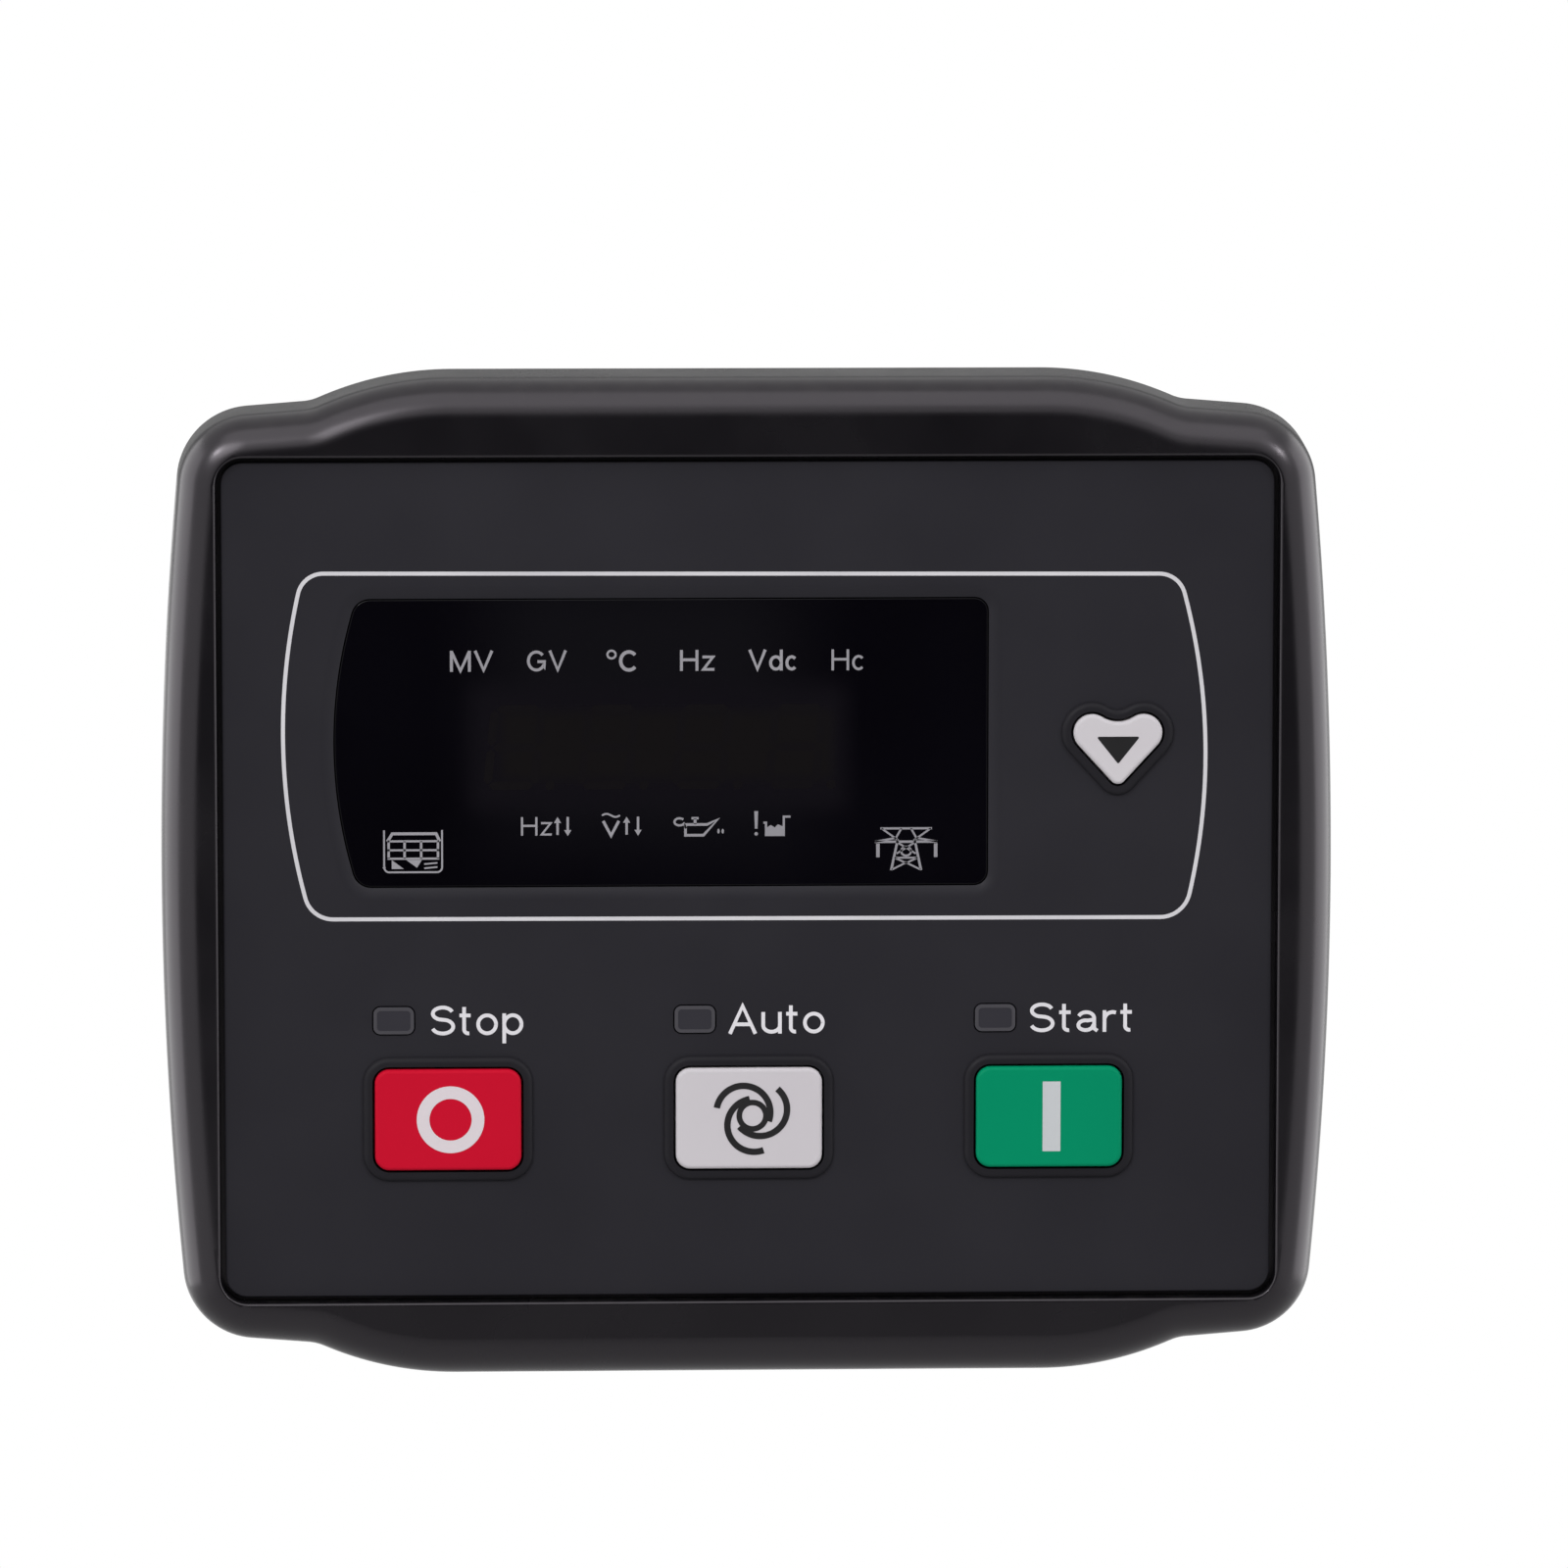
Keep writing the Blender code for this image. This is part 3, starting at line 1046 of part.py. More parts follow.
def build():
    """Clear the scene and make every part."""
    for obj in list(bpy.data.objects):
        bpy.data.objects.remove(obj)
    for name in (PARTS, CUTTERS):
        bpy.context.scene.collection.children.link(bpy.data.collections.new(name))
    make_front_bezel()
    make_gasket()
    make_facia()
    make_lens()
    for name, finish_name in (("stop", "key_red"), ("auto", "key_white"), ("start", "key_green"),
                              ("scroll", "key_white")):
        make_key(name, finish_name)
    for name, (x, z) in lamp_places().items():
        make_lamp(name, x, z)
    make_display()
    make_board("display_board", BOARD_FRONT_Y, CAVITY_HALF_WIDTH - BOARD_GAP, [], legend_places())
    make_board_screws("display_board_screw", BOARD_REAR_Y + SEAT, 1)
    pins = [pin for ways, row in HEADER_ROWS.values() for pin in header_pins(ways, row)]
    make_board("power_board", POWER_FRONT_Y, HOUSING_HALF_INSIDE - BOARD_GAP, pins, [])
    make_board_screws("power_board_screw", POWER_FRONT_Y - SEAT, -1)
    for name, (ways, row) in HEADER_ROWS.items():
        make_header(name, ways, row)
    make_service_socket()
    relay_z, supply_z = part_rows()
    make_relays(relay_z)
    make_supply_parts(supply_z)
    make_link()
    make_rear_housing()
    make_housing_screws()
    for name, side in (("left", -1), ("right", 1)):
        make_clip("clip_" + name, side)
        make_clamp_screw("clamp_screw_" + name, side)


build()
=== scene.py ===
"""Studio scene of a generating-set start controller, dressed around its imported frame.

Frame: X to the right, Y into the panel, Z up, in metres. Sizes in the classes are in
millimetres and turn into metres where a mesh is made.
"""

import json
import logging
import math
from dataclasses import dataclass, field
from enum import Enum
from typing import Sequence

import bmesh
import bpy
from mathutils import Matrix, Vector

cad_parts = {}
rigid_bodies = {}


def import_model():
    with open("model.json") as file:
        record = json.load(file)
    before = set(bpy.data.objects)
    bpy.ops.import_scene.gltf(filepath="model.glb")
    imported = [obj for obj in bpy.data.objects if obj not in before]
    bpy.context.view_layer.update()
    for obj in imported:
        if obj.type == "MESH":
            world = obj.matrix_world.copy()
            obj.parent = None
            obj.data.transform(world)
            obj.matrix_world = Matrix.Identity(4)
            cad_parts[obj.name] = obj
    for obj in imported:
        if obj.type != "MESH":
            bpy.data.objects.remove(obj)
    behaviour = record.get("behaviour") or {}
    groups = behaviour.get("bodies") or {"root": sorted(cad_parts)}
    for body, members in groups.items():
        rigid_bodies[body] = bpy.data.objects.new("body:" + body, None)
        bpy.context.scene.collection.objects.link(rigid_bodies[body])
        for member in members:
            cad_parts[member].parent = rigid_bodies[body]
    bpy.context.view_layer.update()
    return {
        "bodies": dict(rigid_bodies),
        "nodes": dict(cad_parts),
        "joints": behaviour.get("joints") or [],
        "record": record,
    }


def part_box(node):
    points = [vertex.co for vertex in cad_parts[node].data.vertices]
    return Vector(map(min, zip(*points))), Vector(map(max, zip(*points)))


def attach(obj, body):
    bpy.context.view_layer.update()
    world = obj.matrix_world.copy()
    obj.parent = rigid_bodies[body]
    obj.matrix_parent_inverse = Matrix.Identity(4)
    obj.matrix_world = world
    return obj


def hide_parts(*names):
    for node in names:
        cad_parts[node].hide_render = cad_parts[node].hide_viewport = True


LOG = logging.getLogger("controller")

# Metres in a millimetre, and the depth of the moulds' texture in metres.
MM = 0.001
GRAIN_DEPTH = 0.00003

# How far a cutter runs past a face, and the gap between seated pieces, in millimetres.
OVERLAP = 0.5
CLEARANCE = 0.03

# Colour sockets of a mix node.
MIX_FIRST = 6
MIX_SECOND = 7
MIX_RESULT = 2

# Screen colour of dust, and the white of the surroundings.
DUST = (150, 147, 142)
PURE_WHITE = (1.0, 1.0, 1.0, 1.0)

Point = tuple[float, float]
Path = Sequence[Point]
Place = tuple[float, float, float]
Colour = tuple[float, float, float]
Node = bpy.types.Node
Socket = bpy.types.NodeSocket
Tree = bpy.types.NodeTree


class Body(Enum):
    """The bodies that pieces ride on."""

    ROOT = "root"
    STOP = "stop_button"
    AUTO = "auto_button"
    START = "start_button"
    SCROLL = "scroll_button"


class Slot(Enum):
    """Material slots of the record."""

    BEZEL = "bezel_plastic"
    FACIA = "facia_film"
    LENS = "lens_plastic"
    RED = "key_red"
    WHITE = "key_white"
    GREEN = "key_green"
    LAMP = "lamp_plastic"
    SWITCH = "switch_plastic"
    LED = "led_plastic"
    DIGIT = "digit_plastic"
    BOARD = "circuit_board"
    COMPONENT = "component_plastic"
    RELAY = "relay_plastic"
    HEADER = "header_plastic"
    HOUSING = "housing_plastic"
    RUBBER = "gasket_rubber"
    STEEL = "steel"


def srgb(red: float, green: float, blue: float) -> Colour:
    """Linear colour of an 8-bit screen colour.

    Args:
        red: Red, 0 to 255.
        green: Green, 0 to 255.
        blue: Blue, 0 to 255.

    Returns:
        The three linear values.
    """

    def one(value: float) -> float:
        """Linear value of one channel."""
        share = value / 255
        return share / 12.92 if share <= 0.04045 else ((share + 0.055) / 1.055) ** 2.4

    return (one(red), one(green), one(blue))


def math_node(tree: Tree, operation: str, *values: Socket) -> Node:
    """Add a math node.

    Args:
        tree: The node tree.
        operation: What it does.
        values: What it works on.

    Returns:
        The node.
    """
    node = tree.nodes.new("ShaderNodeMath")
    node.operation = operation
    for number, value in enumerate(values):
        tree.links.new(value, node.inputs[number])
    return node


class ShaderGroups:
    """Node groups that several finishes share, each made once."""

    TONE_NOISE = (0.32, 0.68)
    TONE_SCALE = 0.02
    BEVEL_SAMPLES = 4
    EDGE_TURN = (0.985, 0.86)
    WEAR_NOISE = (0.42, 0.66)
    UPWARD = (0.35, 1.0)
    DUST_NOISE = (0.40, 0.70)
    MARK_NOISE = (0.38, 0.64)

    def __init__(self) -> None:
        """Make every group."""
        self.grain = self._grain()
        self.wear = self._wear()
        self.dust = self._dust()
        self.marks = self._marks()
        self.patch = self._patch()

    @staticmethod
    def _new(name: str, inputs: Sequence[tuple[str, float]], outputs: Sequence[str]) -> Tree:
        """Make an empty group with float sockets.

        Args:
            name: Name of the group.
            inputs: Name and default of each input.
            outputs: Names of the outputs.

        Returns:
            The group, holding its input and output nodes.
        """
        tree = bpy.data.node_groups.new(name, "ShaderNodeTree")
        kind = "NodeSocketFloat"
        for label, value in inputs:
            socket = tree.interface.new_socket(name=label, in_out="INPUT", socket_type=kind)
            socket.default_value = value
        for label in outputs:
            tree.interface.new_socket(name=label, in_out="OUTPUT", socket_type=kind)
        tree.nodes.new("NodeGroupInput").name = "in"
        tree.nodes.new("NodeGroupOutput").name = "out"
        return tree

    @staticmethod
    def _noise(tree: Tree, detail: float, factor: float = 1.0) -> Node:
        """Add noise in object space, whose scale is the group's Scale input times a factor.

        Args:
            tree: The group.
            detail: Octaves of the noise.
            factor: Multiple of the Scale input.

        Returns:
            The noise node.
        """
        coords = tree.nodes.new("ShaderNodeTexCoord")
        noise = tree.nodes.new("ShaderNodeTexNoise")
        noise.inputs["Detail"].default_value = detail
        times = math_node(tree, "MULTIPLY", tree.nodes["in"].outputs["Scale"])
        times.inputs[1].default_value = factor
        tree.links.new(coords.outputs["Object"], noise.inputs["Vector"])
        tree.links.new(times.outputs[0], noise.inputs["Scale"])
        return noise

    @staticmethod
    def _range(tree: Tree, source: Socket, limits: Point) -> Node:
        """Stretch a value between two limits to 0 to 1.

        Args:
            tree: The group.
            source: The value.
            limits: The values that become 0 and 1.

        Returns:
            The range node.
        """
        node = tree.nodes.new("ShaderNodeMapRange")
        node.inputs["From Min"].default_value, node.inputs["From Max"].default_value = limits
        tree.links.new(source, node.inputs["Value"])
        return node

    @staticmethod
    def _product(tree: Tree, *values: Socket) -> Socket:
        """Multiply two values, held between 0 and 1.

        Args:
            tree: The group.
            values: The two values.

        Returns:
            The product's socket.
        """
        node = math_node(tree, "MULTIPLY", *values)
        node.use_clamp = True
        return node.outputs[0]

    def _grain(self) -> Tree:
        """Fine mould texture: a height, and a slow drift of tone."""
        tree = self._new("mould_grain", (("Scale", 2600.0),), ("Height", "Tone"))
        fine = self._noise(tree, 3.0)
        slow = self._noise(tree, 2.0, self.TONE_SCALE)
        tone = self._range(tree, slow.outputs["Fac"], self.TONE_NOISE)
        tree.links.new(fine.outputs["Fac"], tree.nodes["out"].inputs["Height"])
        tree.links.new(tone.outputs["Result"], tree.nodes["out"].inputs["Tone"])
        return tree

    def _masked(self, tree: Tree, share: Node, detail: float, limits: Point) -> Tree:
        """Break a mask up by noise, weigh it by the Amount input and put it out.

        Args:
            tree: The group.
            share: The range node that gives the mask.
            detail: Octaves of the noise.
            limits: Limits of the noise.

        Returns:
            The group.
        """
        noise = self._noise(tree, detail)
        patch = self._range(tree, noise.outputs["Fac"], limits)
        both = self._product(tree, share.outputs["Result"], patch.outputs["Result"])
        mask = self._product(tree, both, tree.nodes["in"].outputs["Amount"])
        tree.links.new(mask, tree.nodes["out"].inputs["Mask"])
        return tree

    def _wear(self) -> Tree:
        """Rubbed edges: where a rounded normal leaves the true one, broken up by noise."""
        inputs = (("Radius", 0.0003), ("Amount", 0.5), ("Scale", 900.0))
        tree = self._new("edge_wear", inputs, ("Mask",))
        bevel = tree.nodes.new("ShaderNodeBevel")
        bevel.samples = self.BEVEL_SAMPLES
        geometry = tree.nodes.new("ShaderNodeNewGeometry")
        dot = tree.nodes.new("ShaderNodeVectorMath")
        dot.operation = "DOT_PRODUCT"
        tree.links.new(tree.nodes["in"].outputs["Radius"], bevel.inputs["Radius"])
        tree.links.new(bevel.outputs["Normal"], dot.inputs[0])
        tree.links.new(geometry.outputs["Normal"], dot.inputs[1])
        edge = self._range(tree, dot.outputs["Value"], self.EDGE_TURN)
        return self._masked(tree, edge, 4.0, self.WEAR_NOISE)

    def _dust(self) -> Tree:
        """Light dust on faces that look up."""
        tree = self._new("settled_dust", (("Amount", 0.1), ("Scale", 700.0)), ("Mask",))
        geometry = tree.nodes.new("ShaderNodeNewGeometry")
        split = tree.nodes.new("ShaderNodeSeparateXYZ")
        tree.links.new(geometry.outputs["Normal"], split.inputs[0])
        up = self._range(tree, split.outputs["Z"], self.UPWARD)
        return self._masked(tree, up, 5.0, self.DUST_NOISE)

    def _marks(self) -> Tree:
        """Handling marks: a roughness that drifts between two values."""
        inputs = (("Low", 0.3), ("High", 0.4), ("Scale", 90.0))
        tree = self._new("handling_marks", inputs, ("Roughness",))
        noise = self._noise(tree, 3.0)
        patch = self._range(tree, noise.outputs["Fac"], self.MARK_NOISE)
        for label, socket in (("Low", "To Min"), ("High", "To Max")):
            tree.links.new(tree.nodes["in"].outputs[label], patch.inputs[socket])
        tree.links.new(patch.outputs["Result"], tree.nodes["out"].inputs["Roughness"])
        return tree

    def _patch(self) -> Tree:
        """Soft-edged rectangle in the XZ plane."""
        inputs = (("X", 0.0), ("Z", 0.0), ("Half X", 0.01), ("Half Z", 0.01), ("Soft", 0.001))
        tree = self._new("soft_patch", inputs, ("Mask",))
        given = tree.nodes["in"].outputs
        coords = tree.nodes.new("ShaderNodeTexCoord")
        split = tree.nodes.new("ShaderNodeSeparateXYZ")
        tree.links.new(coords.outputs["Object"], split.inputs[0])
        sides = []
        for axis, half in (("X", "Half X"), ("Z", "Half Z")):
            away = math_node(tree, "SUBTRACT", split.outputs[axis], given[axis])
            reach = math_node(tree, "ABSOLUTE", away.outputs[0])
            inner = math_node(tree, "SUBTRACT", given[half], given["Soft"])
            outer = math_node(tree, "ADD", given[half], given["Soft"])
            ramp = tree.nodes.new("ShaderNodeMapRange")
            ramp.interpolation_type = "SMOOTHSTEP"
            ramp.inputs["To Min"].default_value = 1.0
            ramp.inputs["To Max"].default_value = 0.0
            tree.links.new(reach.outputs[0], ramp.inputs["Value"])
            tree.links.new(inner.outputs[0], ramp.inputs["From Min"])
            tree.links.new(outer.outputs[0], ramp.inputs["From Max"])
            sides.append(ramp.outputs["Result"])
        tree.links.new(self._product(tree, *sides), tree.nodes["out"].inputs["Mask"])
        return tree


@dataclass(frozen=True)
class Patch:
    """A soft-edged patch of another screen colour: centre, half sizes and softness."""

    x: float
    z: float
    half_x: float
    half_z: float
    soft: float
    colour: Colour

    def values(self) -> dict[str, float]:
        """Inputs of the patch group, in metres."""
        return {"X": self.x * MM, "Z": self.z * MM, "Half X": self.half_x * MM,
                "Half Z": self.half_z * MM, "Soft": self.soft * MM}


@dataclass(frozen=True)
class Finish:
    """A finish: its 8-bit screen colours, gloss, grain and wear."""

    name: str
    colour: Colour
    drift: Colour
    slot: Slot
    rough: tuple[float, float] = (0.35, 0.45)
    specular: float = 0.5
    tint: Colour = (1.0, 1.0, 1.0)
    metallic: float = 0.0
    grain: float = 2600.0
    relief: float = 0.15
    wear: float = 0.0
    wear_radius: float = 0.0003
    worn: Colour = (89, 89, 89)
    dust: float = 0.0
    patches: tuple[Patch, ...] = ()

    def material(self, groups: ShaderGroups) -> bpy.types.Material:
        """The finish as a material, made once.

        Args:
            groups: The shared node groups.

        Returns:
            The material.
        """
        found = bpy.data.materials.get(self.name)
        if found is not None:
            return found
        material = bpy.data.materials.new(self.name)
        material.use_nodes = True
        tree = material.node_tree
        shader = tree.nodes["Principled BSDF"]
        shader.inputs["Specular IOR Level"].default_value = self.specular
        shader.inputs["Metallic"].default_value = self.metallic
        shader.inputs["Specular Tint"].default_value = (*self.tint, 1.0)
        grain = self._group(tree, groups.grain, {"Scale": self.grain})
        colour = self._blend(tree, grain.outputs["Tone"], self.colour, self.drift)
        if self.wear > 0:
            values = {"Radius": self.wear_radius, "Amount": self.wear}
            wear = self._group(tree, groups.wear, values)
            colour = self._blend(tree, wear.outputs["Mask"], colour, self.worn)
        if self.dust > 0:
            dust = self._group(tree, groups.dust, {"Amount": self.dust})
            colour = self._blend(tree, dust.outputs["Mask"], colour, DUST)
        # Soft patches of another colour; the lens uses them for the digit block showing through and
        # a painted glow over it.
        for patch in self.patches:
            area = self._group(tree, groups.patch, patch.values())
            colour = self._blend(tree, area.outputs["Mask"], colour, patch.colour)
        tree.links.new(colour, shader.inputs["Base Color"])
        marks = self._group(tree, groups.marks, {"Low": self.rough[0], "High": self.rough[1]})
        tree.links.new(marks.outputs["Roughness"], shader.inputs["Roughness"])
        bump = tree.nodes.new("ShaderNodeBump")
        bump.inputs["Strength"].default_value = self.relief
        bump.inputs["Distance"].default_value = GRAIN_DEPTH
        tree.links.new(grain.outputs["Height"], bump.inputs["Height"])
        tree.links.new(bump.outputs["Normal"], shader.inputs["Normal"])
        return material

    @staticmethod
    def _group(tree: Tree, group: Tree, values: dict[str, float]) -> Node:
        """Place a group in a material with its own values.

        Args:
            tree: The material's nodes.
            group: The group.
            values: Its inputs by name.

        Returns:
            The group's node.
        """
        node = tree.nodes.new("ShaderNodeGroup")
        node.node_tree = group
        for label, value in values.items():
            node.inputs[label].default_value = value
        return node

    @staticmethod
    def _blend(tree: Tree, factor: Socket, first: "Colour | Socket", second: Colour) -> Socket:
        """Mix two colours by a factor that changes over the surface.

        Args:
            tree: The material's nodes.
            factor: The factor.
            first: A screen colour, or the socket that gives a colour.
            second: The screen colour at factor 1.

        Returns:
            The mixed colour's socket.
        """
        mix = tree.nodes.new("ShaderNodeMix")
        mix.data_type = "RGBA"
        tree.links.new(factor, mix.inputs["Factor"])
        if isinstance(first, tuple):
            mix.inputs[MIX_FIRST].default_value = (*srgb(*first), 1.0)
        else:
            tree.links.new(first, mix.inputs[MIX_FIRST])
        mix.inputs[MIX_SECOND].default_value = (*srgb(*second), 1.0)
        return mix.outputs[MIX_RESULT]


# Roughness ranges that several finishes share.
SMOKED = (0.08, 0.13)
FILM = (0.42, 0.50)
INKED = (0.4, 0.5)

BEZEL = Finish("black_satin_moulding", (7, 6, 9), (10, 9, 12), Slot.BEZEL, (0.22, 0.28),
               tint=(0.99, 0.92, 1.0), relief=0.05, wear=0.18, worn=(40, 38, 42), dust=0.02)
FACIA = Finish("printed_grey_film", (36, 35, 40), (39, 38, 43), Slot.FACIA, FILM, 0.12,
               relief=0.10, grain=3400.0)
# Darker film on the raised key collars: painted shade round the keys.
COLLAR_SHADE = Finish("collar_film_painted_shade", (31, 30, 34), (34, 33, 37), Slot.FACIA, FILM, 0.08,
                relief=0.10, grain=3400.0)
# Lighter soft patches on the smoked window: the unlit digit block showing through, spread into a
# broad painted glow over the display.
LENS = Finish("smoked_window", (3, 2, 6), (5, 4, 9), Slot.LENS, SMOKED, 0.2, relief=0.0,
              patches=(Patch(-8.7, 14.5, 12.5, 11.5, 6.0, (15, 14, 18)),
                       Patch(-7.5, 11.1, 15.6, 5.2, 1.6, (16, 14, 19)),
                       Patch(-6.8, 11.3, 13.7, 2.8, 0.8, (19, 17, 18))))
RED = Finish("red_keycap", (191, 14, 42), (196, 17, 45), Slot.RED, FILM, 0.05, relief=0.08)
WHITE = Finish("white_keycap", (197, 192, 197), (201, 197, 201), Slot.WHITE, FILM, 0.06,
               relief=0.08)
GREEN = Finish("green_keycap", (1, 133, 94), (1, 138, 97), Slot.GREEN, FILM, 0.05, relief=0.08)
LAMP = Finish("smoked_light_pipe", (53, 52, 58), (50, 49, 55), Slot.LAMP, (0.18, 0.25), 0.15,
              relief=0.02)
LAMP_RIM = Finish("lamp_rim_print", (66, 65, 70), (74, 72, 77), Slot.LAMP, INKED, 0.15)
INK = Finish("white_ink", (222, 219, 224), (213, 211, 216), Slot.FACIA, (0.45, 0.55), 0.2,
             grain=5000.0)
SILVER = Finish("silver_ink", (208, 206, 210), (196, 194, 199), Slot.FACIA, (0.32, 0.42), 0.3,
                grain=5000.0)
LEGEND = Finish("window_legend", (150, 148, 154), (138, 136, 142), Slot.LENS, INKED, 0.3)
GHOST = Finish("unlit_segments", (19, 17, 19), (17, 15, 18), Slot.LENS, SMOKED, 0.2, relief=0.0)
KEY_INK_RED = Finish("pale_ink_on_red", (218, 208, 213), (211, 201, 206), Slot.RED, INKED, 0.4)
KEY_INK_GREEN = Finish("pale_ink_on_green", (195, 198, 201), (189, 192, 195), Slot.GREEN,
                       INKED, 0.4)
KEY_INK_DARK = Finish("dark_key_ink", (13, 11, 14), (10, 9, 12), Slot.WHITE, INKED, 0.4)
HOUSING = Finish("black_grained_moulding", (24, 24, 26), (29, 29, 31), Slot.HOUSING,
                 (0.5, 0.6), 0.4, grain=1500.0, relief=0.5, wear=0.35, worn=(66, 65, 66),
                 dust=0.03)
RUBBER = Finish("black_rubber", (20, 20, 20), (25, 25, 24), Slot.RUBBER, (0.75, 0.85), 0.3,
                relief=0.3)
STEEL = Finish("zinc_plated_steel", (186, 188, 190), (168, 168, 166), Slot.STEEL,
               (0.22, 0.36), metallic=1.0, grain=3000.0, relief=0.12, wear=0.2,
               worn=(214, 214, 212))
CONTACT = Finish("tinned_contact", (196, 192, 182), (180, 176, 166), Slot.STEEL,
                 (0.25, 0.35), metallic=1.0, relief=0.05)
HEADER = Finish("green_terminal_moulding", (36, 116, 66), (42, 124, 72), Slot.HEADER,
                (0.38, 0.5), 0.45, relief=0.2, wear=0.3, worn=(98, 160, 118), dust=0.04)
SWITCH = Finish("switch_moulding", (30, 30, 32), (36, 36, 38), Slot.SWITCH, INKED, 0.4)
COMPONENT = Finish("component_moulding", (28, 28, 30), (34, 34, 36), Slot.COMPONENT,
                   (0.4, 0.52), 0.4, relief=0.25, wear=0.2, worn=(60, 60, 60))
RELAY = Finish("blue_relay_case", (28, 48, 92), (32, 54, 100), Slot.RELAY, (0.32, 0.42),
               relief=0.1)
LED = Finish("clear_led", (222, 218, 196), (230, 226, 206), Slot.LED, (0.2, 0.3))
DIGIT = Finish("digit_block", (66, 62, 62), (60, 57, 58), Slot.DIGIT, INKED, 0.4)
BOARD = Finish("solder_mask", (18, 84, 44), (24, 98, 52), Slot.BOARD, (0.28, 0.38),
               grain=1800.0, relief=0.2)


@dataclass(frozen=True)
class Arc:
    """One arc of an outline; turn is 1 where the outline is convex and -1 where it is hollow."""

    x: float
    z: float
    radius: float
    start: float
    end: float
    steps: int
    turn: int


class Outline:
    """A closed outline of arcs in the XZ plane, anticlockwise from the front, in millimetres."""

    SIDE_SHARE = 0.998
    LEAST_RADIUS = 0.01

    def __init__(self, arcs: Sequence[Arc]) -> None:
        """Keep the arcs.

        Args:
            arcs: The arcs in order.
        """
        self.arcs = list(arcs)

    @classmethod
    def rounded(cls, corners: Sequence[tuple[float, float, float, int]]) -> "Outline":
        """Round the corners of a polygon.

        Args:
            corners: x, z, radius and steps of each corner.

        Returns:
            The outline.
        """
        count = len(corners)
        points = [Vector(corner[:2]) for corner in corners]
        turns: list[float] = []
        reach: list[float] = []
        for i in range(count):
            arrive = (points[i] - points[i - 1]).normalized()
            leave = (points[(i + 1) % count] - points[i]).normalized()
            angle = math.atan2(arrive.x * leave.y - arrive.y * leave.x, arrive.dot(leave))
            turns.append(angle)
            reach.append(corners[i][2] * math.tan(abs(angle) / 2))
        limits = [1.0] * count
        for i in range(count):
            j = (i + 1) % count
            room = (points[j] - points[i]).length * cls.SIDE_SHARE
            if reach[i] + reach[j] > room:
                share = room / (reach[i] + reach[j])
                limits[i] = min(limits[i], share)
                limits[j] = min(limits[j], share)
        arcs: list[Arc] = []
        for i, corner in enumerate(corners):
            radius = corner[2] * limits[i]
            arrive = (points[i] - points[i - 1]).normalized()
            turn = 1 if turns[i] > 0 else -1
            foot = points[i] - arrive * reach[i] * limits[i]
            inward = Vector((-arrive.y, arrive.x)) * turn
            centre = foot + inward * radius
            start = math.atan2(-inward.y, -inward.x)
            arcs.append(Arc(centre.x, centre.y, radius, start, start + turns[i], corner[3], turn))
        return cls(arcs)

    @classmethod
    def rectangle(cls, x: float, z: float, width: float, height: float, radius: float,
                  steps: int = 8) -> "Outline":
        """A rectangle with round corners about its centre.

        Args:
            x: Centre across.
            z: Centre up.
            width: Width.
            height: Height.
            radius: Corner radius.
            steps: Facets of each corner.

        Returns:
            The outline.
        """
        w, h = width / 2, height / 2
        return cls.rounded([(x + w, z - h, radius, steps), (x + w, z + h, radius, steps),
                            (x - w, z + h, radius, steps), (x - w, z - h, radius, steps)])

    @classmethod
    def circle(cls, x: float, z: float, radius: float, steps: int = 32) -> "Outline":
        """A circle.

        Args:
            x: Centre across.
            z: Centre up.
            radius: Radius.
            steps: Facets.

        Returns:
            The outline.
        """
        return cls([Arc(x, z, radius, 0.0, math.tau * (steps - 1) / steps, steps - 1, 1)])

    def points(self, grow: float = 0.0) -> list[Point]:
        """The outline's points.

        Args:
            grow: How far the outline is moved outwards.

        Returns:
            The points in order.
        """
        found: list[Point] = []
        for arc in self.arcs:
            radius = max(arc.radius + arc.turn * grow, self.LEAST_RADIUS)
            for i in range(arc.steps + 1):
                angle = arc.start + (arc.end - arc.start) * i / arc.steps
                found.append((arc.x + radius * math.cos(angle), arc.z + radius * math.sin(angle)))
        return found


def bowed_side(reach: float, bow: float, half_height: float) -> tuple[float, float]:
    """Apex and radius of the arc that bows a side outwards.

    Args:
        reach: Furthest point of the side.
        bow: How far the side bows.
        half_height: Half the height it bows over.

    Returns:
        The apex's distance and the arc's radius.
    """
    room_for_corners = 0.9
    slope = 2 * math.atan(room_for_corners * bow / half_height)
    apex = reach - bow + half_height * math.tan(slope)
    return apex, (apex - reach) / (1 / math.cos(slope) - 1)


